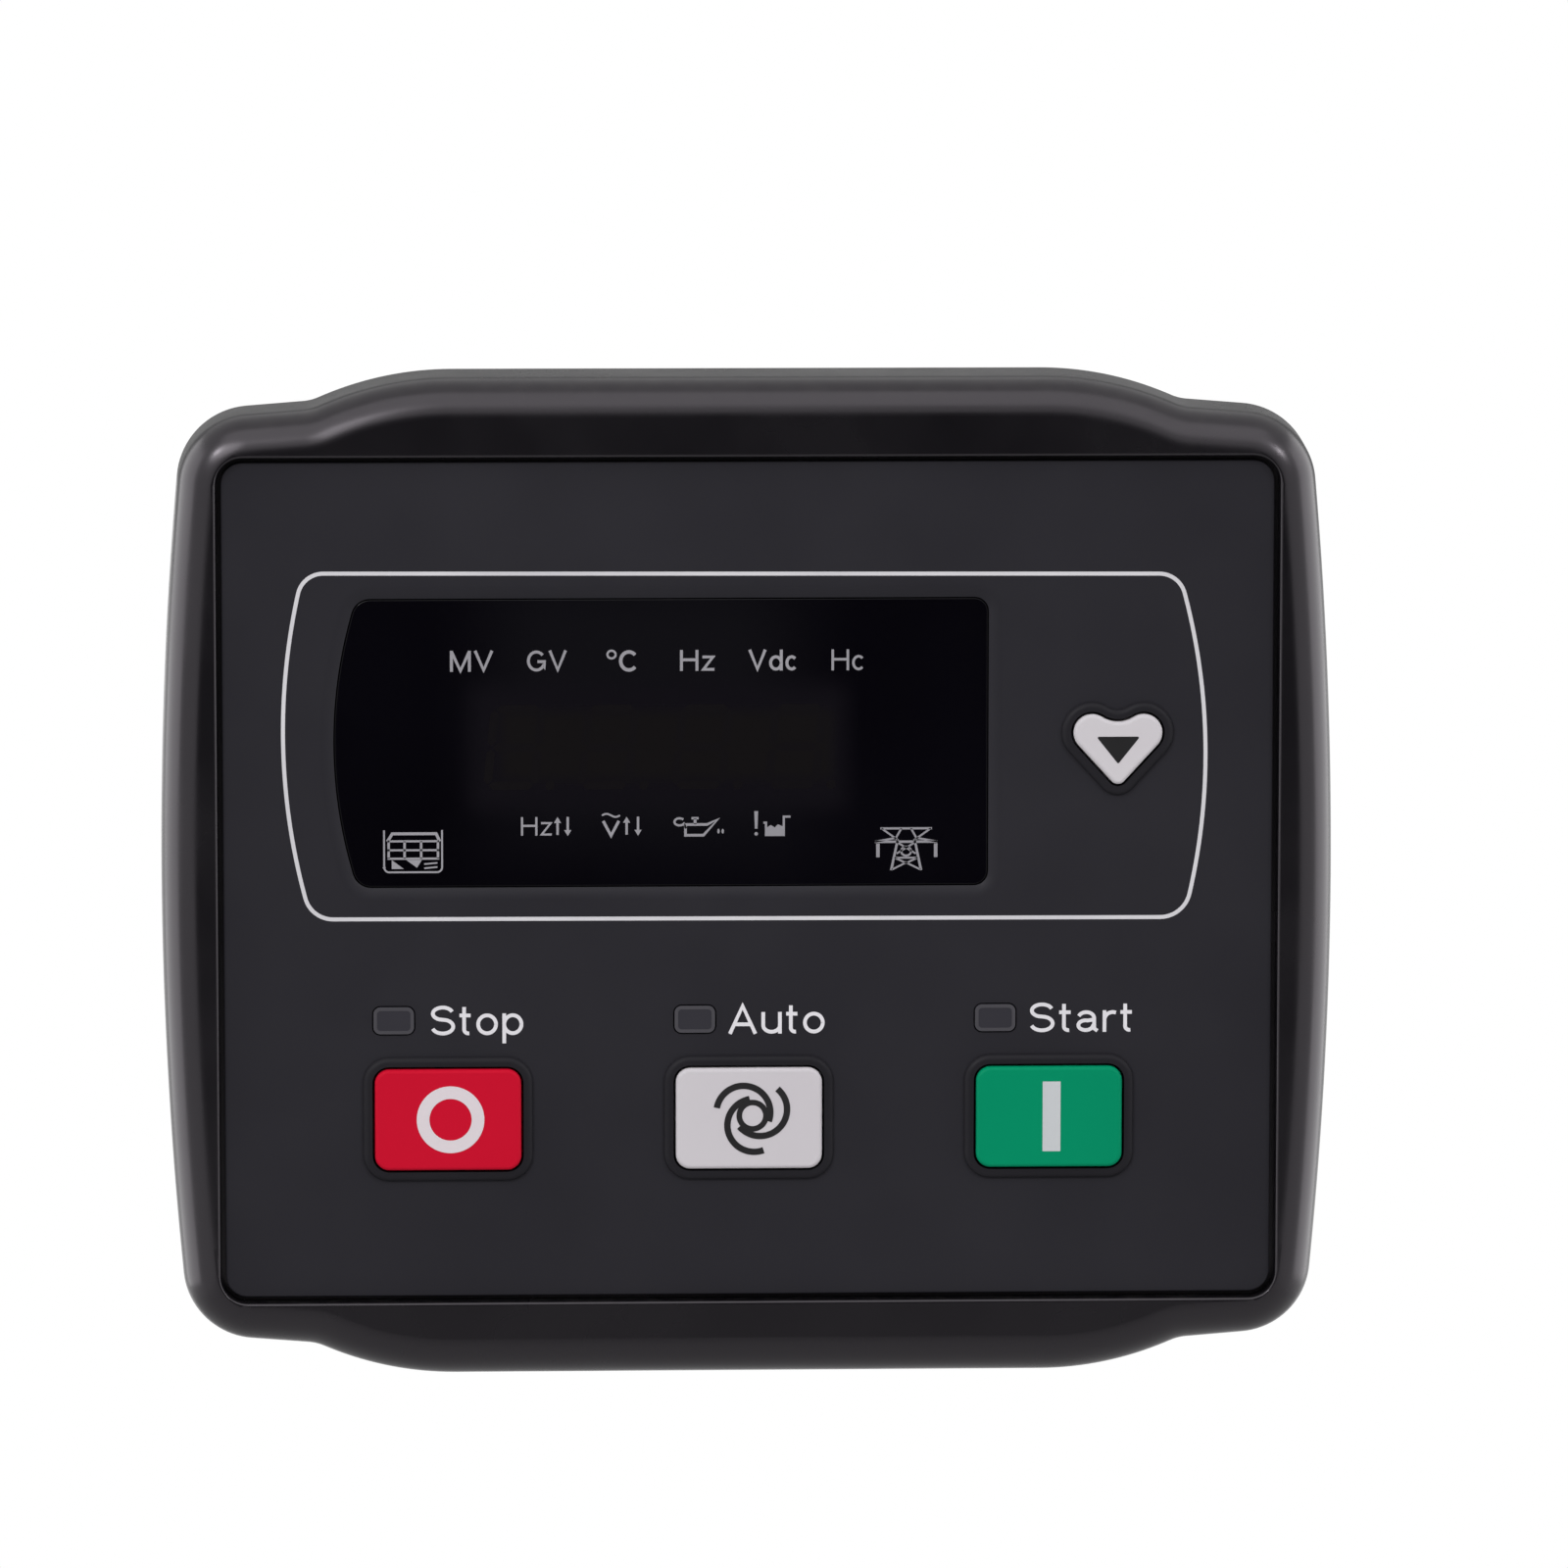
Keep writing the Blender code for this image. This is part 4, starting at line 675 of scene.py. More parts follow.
class Solid:
    """Collects faces into one mesh object, in millimetres."""

    SHARP = 30.0
    STRAIGHT = 1e-6
    MITRE = 0.5

    def __init__(self, name: str) -> None:
        """Start an empty piece.

        Args:
            name: Name of the piece.
        """
        self.name = name
        self.bm = bmesh.new()

    def loft(self, rings: Sequence[tuple[Path, float]], closed: bool = False) -> "Solid":
        """Skin rings of points, each at its own level along Y.

        Args:
            rings: Points and level of each ring.
            closed: Join the last ring to the first, as a tube, in place of capping both ends.

        Returns:
            This piece.
        """
        loops = [[self.bm.verts.new((x, y, z)) for x, z in points] for points, y in rings]
        pairs = zip(loops, loops[1:] + loops[:1] if closed else loops[1:])
        for near, far in pairs:
            for i in range(len(near)):
                j = (i + 1) % len(near)
                self.bm.faces.new((near[i], far[i], far[j], near[j]))
        if not closed:
            self.bm.faces.new(loops[0])
            self.bm.faces.new(list(reversed(loops[-1])))
        return self

    def prism(self, points: Path, front: float, rear: float) -> "Solid":
        """Extrude an outline straight.

        Args:
            points: The outline.
            front: Level of its front.
            rear: Level of its rear.

        Returns:
            This piece.
        """
        return self.loft([(points, front), (points, rear)])

    def ring(self, outer: Path, inner: Path, front: float,
             rear: float) -> "Solid":
        """Add a flat ring between two outlines with as many points each.

        Args:
            outer: The outer outline.
            inner: The inner outline.
            front: Level of its front.
            rear: Level of its rear.

        Returns:
            This piece.
        """
        rings = [(outer, front), (outer, rear), (inner, rear), (inner, front)]
        return self.loft(rings, closed=True)

    def box(self, x0: float, x1: float, y0: float, y1: float, z0: float, z1: float) -> "Solid":
        """Add a box between two corners.

        Args:
            x0: Left.
            x1: Right.
            y0: Front.
            y1: Rear.
            z0: Bottom.
            z1: Top.

        Returns:
            This piece.
        """
        return self.prism([(x0, z0), (x1, z0), (x1, z1), (x0, z1)], y0, y1)

    def stroke(self, path: Path, width: float, front: float, rear: float,
               closed: bool = False) -> None:
        """Add a flat line of even width along a path, with mitred corners.

        Args:
            path: The line's middle.
            width: Its width.
            front: Level of its front.
            rear: Level of its rear.
            closed: Join its ends.
        """
        points = [Vector(point) for point in path]
        count = len(points)
        left: list[Vector] = []
        right: list[Vector] = []
        for i, point in enumerate(points):
            before = points[i - 1] if i > 0 or closed else None
            after = points[(i + 1) % count] if i < count - 1 or closed else None
            arrive = ((point - before) if before is not None else (after - point)).normalized()
            leave = (after - point).normalized() if after is not None else arrive
            middle = arrive + leave
            along = middle.normalized() if middle.length > self.STRAIGHT else arrive
            side = Vector((-along.y, along.x))
            square = Vector((-arrive.y, arrive.x))
            reach = width / 2 / max(side.dot(square), self.MITRE)
            left.append(point + side * reach)
            right.append(point - side * reach)
        self._ribbon(left, right, front, rear, closed)

    def _ribbon(self, left: Sequence[Vector], right: Sequence[Vector], front: float, rear: float,
                closed: bool) -> None:
        """Close a flat line between its two sides.

        Args:
            left: One side.
            right: The other.
            front: Level of its front.
            rear: Level of its rear.
            closed: Whether its ends meet.
        """
        rows = [[self.bm.verts.new((a.x, front, a.y)), self.bm.verts.new((b.x, front, b.y)),
                 self.bm.verts.new((b.x, rear, b.y)), self.bm.verts.new((a.x, rear, a.y))]
                for a, b in zip(left, right)]
        for near, far in zip(rows, rows[1:] + rows[:1] if closed else rows[1:]):
            for k in range(4):
                m = (k + 1) % 4
                self.bm.faces.new((near[k], near[m], far[m], far[k]))
        if not closed:
            self.bm.faces.new(rows[0])
            self.bm.faces.new(list(reversed(rows[-1])))

    def object(self) -> bpy.types.Object:
        """Make the object, in metres, and put it in the scene.

        Returns:
            The object.
        """
        bmesh.ops.recalc_face_normals(self.bm, faces=self.bm.faces)
        bmesh.ops.scale(self.bm, vec=(MM, MM, MM), verts=self.bm.verts)
        mesh = bpy.data.meshes.new(self.name)
        self.bm.to_mesh(mesh)
        self.bm.free()
        mesh.shade_smooth()
        mesh.set_sharp_from_angle(angle=math.radians(self.SHARP))
        obj = bpy.data.objects.new(self.name, mesh)
        bpy.context.scene.collection.objects.link(obj)
        return obj


class Print(Solid):
    """A thin layer of ink about one level, in millimetres."""

    HALF = 0.02

    def __init__(self, name: str, level: float) -> None:
        """Start an empty print.

        Args:
            name: Name of the piece.
            level: Level of the surface that it lies on.
        """
        super().__init__(name)
        self.front = level - self.HALF
        self.rear = level + self.HALF

    def line(self, path: Path, width: float, swell: float = 0.0,
             closed: bool = False) -> None:
        """Print a line of even width.

        Args:
            path: The line's middle.
            width: Its width.
            swell: How much further it reaches on both sides of the level.
            closed: Join its ends.
        """
        self.stroke(path, width, self.front - swell, self.rear + swell, closed)

    def area(self, points: Path) -> None:
        """Fill an outline."""
        self.prism(points, self.front, self.rear)

    def band(self, outer: Path, inner: Path) -> None:
        """Fill the space between two outlines."""
        self.ring(outer, inner, self.front, self.rear)


class Workshop:
    """Shared tools: modifiers, materials and the way a piece joins the frame."""

    BEVEL_ANGLE = 35.0
    BEVEL_SEGMENTS = 2
    NORMAL_WEIGHT = 80
    WELD = 0.000004
    FLAT_ANGLE = 1.0

    def __init__(self, frame: dict, groups: ShaderGroups) -> None:
        """Keep the frame and the node groups.

        Args:
            groups: The shared node groups.
        """
        self.frame = frame
        self.groups = groups

    def cut(self, target: bpy.types.Object, tools: Sequence[tuple[str, Solid]]) -> None:
        """Join tools to a target or cut them from it, one after another.

        Args:
            target: The piece.
            tools: Operation and solid of each tool.
        """
        helpers: list[bpy.types.Object] = []
        for operation, solid in tools:
            tool = solid.object()
            helpers.append(tool)
            modifier = target.modifiers.new(tool.name, "BOOLEAN")
            modifier.operation = operation
            modifier.solver = "EXACT"
            modifier.object = tool
        self.apply(target)
        for tool in helpers:
            bpy.data.objects.remove(tool)

    @staticmethod
    def apply(obj: bpy.types.Object) -> None:
        """Apply every modifier of an object.

        Args:
            obj: The object.
        """
        graph = bpy.context.evaluated_depsgraph_get()
        mesh = bpy.data.meshes.new_from_object(obj.evaluated_get(graph))
        obj.modifiers.clear()
        obj.data = mesh

    def soften(self, obj: bpy.types.Object, width: float) -> None:
        """Round an object's edges a little and weigh its normals by face area.

        Args:
            obj: The object.
            width: Width of the bevel in millimetres.
        """
        bevel = obj.modifiers.new("soft_edges", "BEVEL")
        bevel.width = width * MM
        bevel.segments = self.BEVEL_SEGMENTS
        bevel.limit_method = "ANGLE"
        bevel.angle_limit = math.radians(self.BEVEL_ANGLE)
        bevel.use_clamp_overlap = True
        self.apply(obj)
        self.even(obj)

    def even(self, obj: bpy.types.Object, smooth: float = 40.0) -> None:
        """Weigh an object's normals by face area, so that flats look flat beside fillets.

        Args:
            obj: The object.
            smooth: Edges sharper than this many degrees stay sharp.
        """
        obj.data.shade_smooth()
        obj.data.set_sharp_from_angle(angle=math.radians(smooth))
        weigh = obj.modifiers.new("even_normals", "WEIGHTED_NORMAL")
        weigh.keep_sharp = True
        weigh.weight = self.NORMAL_WEIGHT
        self.apply(obj)

    def install(self, obj: bpy.types.Object, finish: Finish, body: Body = Body.ROOT,
                replaces: Sequence[str] = ()) -> None:
        """Paint a piece and let it ride.

        Args:
            obj: The piece.
            finish: Its finish.
            body: The body it rides on.
            replaces: CAD nodes that it stands for.
        """
        obj.data.materials.clear()
        obj.data.materials.append(finish.material(self.groups))
        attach(obj, body.value)
        if replaces:
            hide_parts(*replaces)
        LOG.info("%s rides on %s, %d faces", obj.name, body.value, len(obj.data.polygons))

    def dress(self, finish: Finish, name: str) -> None:
        """Give a CAD node a finish.

        Args:
            finish: The finish.
            name: The node.
        """
        node = self.frame["nodes"][name]
        material = finish.material(self.groups)
        for slot in node.material_slots:
            slot.material = material
        if not node.material_slots:
            node.data.materials.append(material)
        LOG.info("%s dressed as %s", name, finish.name)

    def refine(self, name: str, finish: Finish, bevel: float) -> None:
        """Replace a CAD node by the same shape with softened edges.

        Args:
            name: The node.
            finish: Its finish.
            bevel: Width of its softened edges in millimetres.
        """
        mesh = self.frame["nodes"][name].data.copy()
        obj = bpy.data.objects.new(name + "_soft", mesh)
        bpy.context.scene.collection.objects.link(obj)
        bm = bmesh.new()
        bm.from_mesh(mesh)
        bmesh.ops.remove_doubles(bm, verts=bm.verts, dist=self.WELD)
        bmesh.ops.dissolve_limit(bm, angle_limit=math.radians(self.FLAT_ANGLE), verts=bm.verts,
                                 edges=bm.edges)
        bm.to_mesh(mesh)
        bm.free()
        self.soften(obj, bevel)
        self.install(obj, finish, replaces=(name,))


@dataclass(frozen=True)
class Layout:
    """Places and levels that several pieces share, in millimetres."""

    facia_width: float = 87.4
    facia_height: float = 70.0
    facia_radius: float = 1.8
    crest: float = -9.3
    facia_front: float = -8.4
    facia_seat: float = -7.4
    lens_front: float = -7.9
    lens_rear: float = -6.37
    wall_rear: float = -5.4
    board_front: float = 4.0
    key_top: float = -9.2
    key_gap: float = 0.2
    key_width: float = 12.2
    key_height: float = 8.5
    key_radius: float = 1.2
    lamp_width: float = 3.4
    lamp_radius: float = 0.6
    lamp_gap: float = 0.1
    lamp_rise: float = 0.1
    lamp_shift: float = 4.5
    lamp_height: float = 2.3
    lamp_row: float = -11.7
    window_left: float = -34.5
    window_right: float = 20.0
    window_bottom: float = -0.6
    window_top: float = 23.6
    window_bow: float = 1.9
    window_radius: float = 1.2
    window_left_radius: float = 1.6

    def facia(self) -> Outline:
        """The facia's outline."""
        return Outline.rectangle(0.0, 0.0, self.facia_width, self.facia_height,
                                 self.facia_radius, 12)

    def window(self) -> Outline:
        """The window's outline, bowed on the left."""
        half = (self.window_top - self.window_bottom) / 2
        middle = (self.window_top + self.window_bottom) / 2
        apex, radius = bowed_side(-self.window_left, self.window_bow, half)
        corner = self.window_left + self.window_bow
        steps = 10
        return Outline.rounded([(self.window_right, self.window_bottom, self.window_radius, steps),
                                (self.window_right, self.window_top, self.window_radius, steps),
                                (corner, self.window_top, self.window_left_radius, steps),
                                (-apex, middle, radius, 24),
                                (corner, self.window_bottom, self.window_left_radius, steps)])

    @staticmethod
    def places() -> dict[str, Point]:
        """Centre of each key."""
        return {"stop": (-25.1, -20.0), "auto": (0.0, -20.0), "start": (25.1, -20.0),
                "scroll": (30.73, 11.0)}

    def lamps(self) -> dict[str, Point]:
        """Centre of each status lamp."""
        return {name: (x - self.lamp_shift, self.lamp_row)
                for name, (x, _) in self.places().items() if name != "scroll"}

    def key(self, name: str) -> Outline:
        """Outline of a key.

        Args:
            name: The key.

        Returns:
            The outline.
        """
        x, z = self.places()[name]
        if name != "scroll":
            return Outline.rectangle(x, z, self.key_width, self.key_height, self.key_radius, 10)
        lobe_x, lobe_z, lobe = 2.15, 1.3, 1.55
        tip_z, tip = -2.3, 0.7
        notch_z, notch = 4.62, 2.4
        reach = Vector((lobe_x, lobe_z - tip_z))
        lean = math.asin((lobe - tip) / reach.length)
        side = math.atan2(reach.y, reach.x) - lean - math.pi / 2
        rise = Vector((lobe_x, notch_z - lobe_z))
        meet = math.acos(min(1.0, (lobe + notch) / rise.length))
        top = math.pi - math.atan2(rise.y, rise.x) - meet
        return Outline([Arc(x, z + tip_z, tip, -math.pi - side, side, 14, 1),
                        Arc(x + lobe_x, z + lobe_z, lobe, side, top, 24, 1),
                        Arc(x, z + notch_z, notch, top - math.pi, -top, 10, -1),
                        Arc(x - lobe_x, z + lobe_z, lobe, math.pi - top, math.pi - side, 24, 1)])

    def lamp(self, name: str) -> Outline:
        """Outline of a status lamp.

        Args:
            name: The lamp.

        Returns:
            The outline.
        """
        x, z = self.lamps()[name]
        return Outline.rectangle(x, z, self.lamp_width, self.lamp_height, self.lamp_radius)


def quarter_round(radius: float, steps: int) -> list[Point]:
    """Inset and depth along a rounded edge, from its front face to its side.

    Args:
        radius: Radius of the edge.
        steps: Facets.

    Returns:
        The inset and depth of each ring.
    """
    angles = [math.pi / 2 * i / steps for i in range(steps + 1)]
    return [(radius * (1 - math.sin(a)), radius * (1 - math.cos(a))) for a in angles]


def four(place: Point) -> list[Point]:
    """A place and its mirror images in all four quarters."""
    return [(sx * place[0], sz * place[1]) for sx in (-1, 1) for sz in (-1, 1)]


@dataclass
class FrontBezel:
    """The moulded bezel: bowed sides, bulged top and bottom, rolled edge and stepped recess."""

    shop: Workshop
    layout: Layout
    width: float = 98.0
    shoulder: float = 79.0
    fall: float = 0.85
    rise: float = 2.6
    crest: float = 30.1
    crest_radius: float = 27.5
    ramp: float = 6.2
    ramp_radius: float = 4.0
    bow: float = 2.0
    corner: float = 6.6
    rear: float = -0.3
    rear_edge: tuple[Point, ...] = ((0.25, 0.0), (0.07, 0.07), (0.0, 0.25))
    roll: float = 3.4
    roll_steps: int = 18
    draft: float = 0.2
    lip: float = 0.3
    recess_gap: float = 0.4
    sleeve_rear: float = 8.0
    body_width: float = 79.0
    body_height: float = 67.0
    body_corner: float = 2.0
    body_wall: float = 2.0
    lap: float = 2.3
    lap_wall: float = 0.9
    boss: Point = (33.5, 27.5)
    boss_radius: float = 3.0
    boss_hole: float = 1.45
    boss_drop: float = 0.3
    post: Point = (14.0, 28.0)
    post_radius: float = 2.5
    post_hole: float = 1.25
    hole_floor: float = 1.0
    window_step: float = 1.3
    window_ledge: float = 0.6
    groove_reach: float = 9.2
    groove_corner: float = 6.1
    groove_width: float = 2.86
    groove_depth: float = 1.13
    groove_end: float = 0.2
    smooth: float = 32.0

    def outline(self) -> Outline:
        """The bezel's outline."""
        half, shoulder = self.width / 2, self.shoulder / 2
        apex, radius = bowed_side(half, self.bow, shoulder - self.fall)
        quarter = [(half - self.bow, shoulder - self.fall, self.corner, 20),
                   (self.crest + self.ramp, shoulder, self.ramp_radius, 8),
                   (self.crest, shoulder + self.rise, self.crest_radius, 16)]
        top = quarter + [(-x, z, r, n) for x, z, r, n in reversed(quarter)]
        bottom = [(-x, -z, r, n) for x, z, r, n in top]
        right, left = (apex, 0.0, radius, 30), (-apex, 0.0, radius, 30)
        return Outline.rounded([right] + top + [left] + bottom)

    def build(self) -> None:
        """Skin the bezel, then cut and fit its recess, cavity, posts, holes and groove."""
        shell = self._shell()
        body = Outline.rectangle(0.0, 0.0, self.body_width, self.body_height, self.body_corner)
        inside, lap = body.points(-self.body_wall), body.points(-self.lap_wall)
        wall, rear = self.layout.wall_rear, self.sleeve_rear
        sleeve = Solid("sleeve").prism(body.points(), self.rear - OVERLAP, rear)
        tools = [("UNION", sleeve),
                 ("DIFFERENCE", self._recess()),
                 ("DIFFERENCE", Solid("cavity").prism(inside, wall, rear + OVERLAP)),
                 ("DIFFERENCE", Solid("lap").prism(lap, rear - self.lap, rear + OVERLAP)),
                 ("UNION", self._posts()),
                 ("DIFFERENCE", self._window()),
                 ("DIFFERENCE", self._holes()),
                 ("DIFFERENCE", self._groove())]
        self.shop.cut(shell, tools)
        self.shop.even(shell, self.smooth)
        self.shop.install(shell, BEZEL, replaces=("front_bezel",))

    def _shell(self) -> bpy.types.Object:
        """The moulding's outside, skinned through its rolled edge."""
        outline = self.outline()
        rings = [(outline.points(-inset), self.rear - depth) for inset, depth in self.rear_edge]
        for i in range(self.roll_steps + 1):
            angle = math.pi / 2 * i / self.roll_steps
            inset = self.draft + self.roll * (1 - math.cos(angle))
            level = self.layout.crest + self.roll * (1 - math.sin(angle))
            rings.append((outline.points(-inset), level))
        return Solid("bezel_moulding").loft(rings[::-1]).object()

    def _recess(self) -> Solid:
        """Cutter of the facia's recess, with its rounded lip."""
        facia = self.layout.facia()
        rings = [(facia.points(self.recess_gap + self.lip), self.layout.crest - OVERLAP)]
        for flare, depth in quarter_round(self.lip, 6):
            rings.append((facia.points(self.recess_gap + flare), self.layout.crest + depth))
        rings.append((facia.points(self.recess_gap), self.layout.facia_seat))
        return Solid("recess").loft(rings)

    def _posts(self) -> Solid:
        """Bosses for the long screws and posts for the display board."""
        solid = Solid("posts")
        front = self.layout.wall_rear - OVERLAP
        for x, z in four(self.boss):
            circle = Outline.circle(x, z, self.boss_radius, 40)
            solid.prism(circle.points(), front, self.sleeve_rear - self.boss_drop)
        for x, z in four(self.post):
            circle = Outline.circle(x, z, self.post_radius, 36)
            solid.prism(circle.points(), front, self.layout.board_front - CLEARANCE)
        return solid

    def _window(self) -> Solid:
        """Cutter of the stepped window."""
        window = self.layout.window()
        step, opening = window.points(self.window_step), window.points(-self.window_ledge)
        floor = self.layout.lens_rear + CLEARANCE
        return Solid("window_step").loft([(step, self.layout.facia_seat - OVERLAP),
                                          (step, floor), (opening, floor),
                                          (opening, self.layout.wall_rear + OVERLAP)])

    def _holes(self) -> Solid:
        """Cutter of the key, lamp and pilot holes."""
        layout = self.layout
        solid = Solid("holes")
        front, rear = layout.facia_seat - OVERLAP, layout.wall_rear + OVERLAP
        for name in layout.places():
            solid.prism(layout.key(name).points(layout.key_gap), front, rear)
        for name in layout.lamps():
            solid.prism(layout.lamp(name).points(layout.lamp_gap), front, rear)
        floor = layout.wall_rear + self.hole_floor
        for x, z in four(self.boss):
            circle = Outline.circle(x, z, self.boss_hole, 28)
            solid.prism(circle.points(), floor, self.sleeve_rear)
        for x, z in four(self.post):
            circle = Outline.circle(x, z, self.post_hole, 28)
            solid.prism(circle.points(), floor, layout.board_front + OVERLAP)
        return solid

    def _groove(self) -> Solid:
        """Cutter of the gasket groove."""
        outer = Outline.rectangle(0.0, 0.0, self.body_width + self.groove_reach,
                                  self.body_height + self.groove_reach, self.groove_corner, 14)
        return Solid("groove").ring(outer.points(), outer.points(-self.groove_width),
                                    self.rear - self.groove_depth, self.groove_end)


@dataclass
class Facia:
    """The printed facia plate with its collars, window bevel, inks and lamp frames."""

    shop: Workshop
    layout: Layout
    collar_width: float = 0.8
    collar_height: float = 0.45
    collar_top: float = 0.35
    collar_steps: int = 8
    dark_limit: float = 0.02
    bevel: float = 1.1
    edge: float = 0.12
    smooth: float = 28.0
    outline_shift: float = -0.3
    outline_half: float = 38.6
    outline_corner: float = 36.8
    outline_pull: float = 0.55
    outline_bottom: float = -3.3
    outline_top: float = 25.8
    outline_width: float = 0.33
    frame_outer: float = 0.03
    frame_inner: float = 0.31
    label_base: float = -12.95
    label_cap: float = 2.5
    label_weight: float = 0.31

    def build(self) -> None:
        """Make the plate and its prints."""
        layout = self.layout
        facia = layout.facia()
        rings = [(facia.points(-inset), layout.facia_front + depth)
                 for inset, depth in quarter_round(self.edge, 4)]
        rings.append((facia.points(), layout.facia_seat - CLEARANCE))
        plate = Solid("printed_plate").loft(rings).object()
        self.shop.cut(plate, [("UNION", self._collars()), ("DIFFERENCE", self._window()),
                              ("DIFFERENCE", self._holes())])
        self.shop.even(plate, self.smooth)
        self.shop.install(plate, FACIA, replaces=("facia",))
        self._paint_collar_shade(plate)
        self._outline_print()
        self._lamp_frames()
        self._labels()

    def _collars(self) -> Solid:
        """Raised collars round the keys."""
        layout = self.layout
        solid = Solid("collars")
        for name in layout.places():
            key = layout.key(name)
            foot = key.points(layout.key_gap + self.collar_width)
            rings = [(foot, layout.facia_front + OVERLAP)]
            for i in range(self.collar_steps + 1):
                angle = math.pi / 2 * i / self.collar_steps
                share = self.collar_top + (1 - self.collar_top) * math.cos(angle)
                reach = layout.key_gap + self.collar_width * share
                level = layout.facia_front - self.collar_height * math.sin(angle)
                rings.append((key.points(reach), level))
            solid.loft(rings[::-1])
        return solid

    def _paint_collar_shade(self, plate: bpy.types.Object) -> None:
        """Give the faces of the collars a darker film: painted shade round the keys.

        Args:
            plate: The plate.
        """
        # Faces of the raised collars get the darker film, painted shade beside the keys.
        mesh = plate.data
        mesh.materials.append(COLLAR_SHADE.material(self.shop.groups))
        limit = (self.layout.facia_front - self.dark_limit) * MM
        for face in mesh.polygons:
            if min(mesh.vertices[i].co.y for i in face.vertices) < limit:
                face.material_index = 1

    def _window(self) -> Solid:
        """Cutter of the window with its sloped rim."""
        layout = self.layout
        window = layout.window()
        sink = layout.lens_front - layout.facia_front
        slope = self.bevel / sink
        wide = window.points(slope * (sink + OVERLAP))
        return Solid("window_rim").loft([(wide, layout.facia_front - OVERLAP),
                                         (window.points(), layout.lens_front),
                                         (window.points(), layout.facia_seat + OVERLAP)])

    def _holes(self) -> Solid:
        """Cutter of the key and lamp openings."""
        layout = self.layout
        solid = Solid("plate_holes")
        front, rear = layout.facia_front, layout.facia_seat + OVERLAP
        for name in layout.places():
            solid.prism(layout.key(name).points(layout.key_gap),
                        front - self.collar_height - OVERLAP, rear)
        for name in layout.lamps():
            solid.prism(layout.lamp(name).points(layout.lamp_gap), front - OVERLAP, rear)
        return solid

    def _outline_print(self) -> None:
        """The thin line round the window and the scroll key, bowed at both sides."""
        low, high = self.outline_bottom, self.outline_top
        half, middle = (high - low) / 2, (high + low) / 2
        corner, pull = self.outline_corner, self.outline_pull
        apex, radius = bowed_side(self.outline_half, self.outline_half - corner, half)
        corners = [(corner, low - 0.15, 3.0, 12), (apex, middle, radius, 30),
                   (corner - pull, high - 0.1, 2.6, 12), (-corner, high + 0.15, 2.5, 12),
                   (-apex, middle, radius, 30), (pull - corner, low, 2.8, 12)]
        line = Outline.rounded([(x + self.outline_shift, z, r, n) for x, z, r, n in corners])
        mark = Print("window_outline_print", self.layout.facia_front)
        mark.band(line.points(), line.points(-self.outline_width))
        self.shop.install(mark.object(), SILVER)

    def _lamp_frames(self) -> None:
        """Printed frames round the status lamps."""
        layout = self.layout
        for name in layout.lamps():
            lamp = layout.lamp(name)
            mark = Print("lamp_frame_" + name, layout.facia_front - layout.lamp_rise)
            mark.band(lamp.points(-self.frame_outer), lamp.points(-self.frame_inner))
            self.shop.install(mark.object(), LAMP_RIM)

    def _labels(self) -> None:
        """Function names above the keys."""
        for word, x0, x1 in (("Stop", -26.55, -18.8), ("Auto", -1.7, 6.35),
                             ("Start", 23.45, 32.15)):
            mark = Print("label_" + word.lower(), self.layout.facia_front)
            Lettering(word, x0, x1, self.label_base, self.label_cap, self.label_weight).draw(mark)
            self.shop.install(mark.object(), INK)


def ellipse_arc(x: float, z: float, rx: float, rz: float, start: float, end: float,
                steps: int = 14) -> list[Point]:
    """Points along part of an ellipse.

    Args:
        x: Centre across.
        z: Centre up.
        rx: Radius across.
        rz: Radius up.
        start: First angle in degrees.
        end: Last angle in degrees.
        steps: Facets.

    Returns:
        The points.
    """
    angles = [math.radians(start + (end - start) * i / steps) for i in range(steps + 1)]
    return [(x + rx * math.cos(a), z + rz * math.sin(a)) for a in angles]


@dataclass(frozen=True)
class Glyph:
    """One letter: its width and the middle lines of its strokes, with a capital's height as 1."""

    width: float
    lines: Sequence[Path]
    weight: float = 1.0


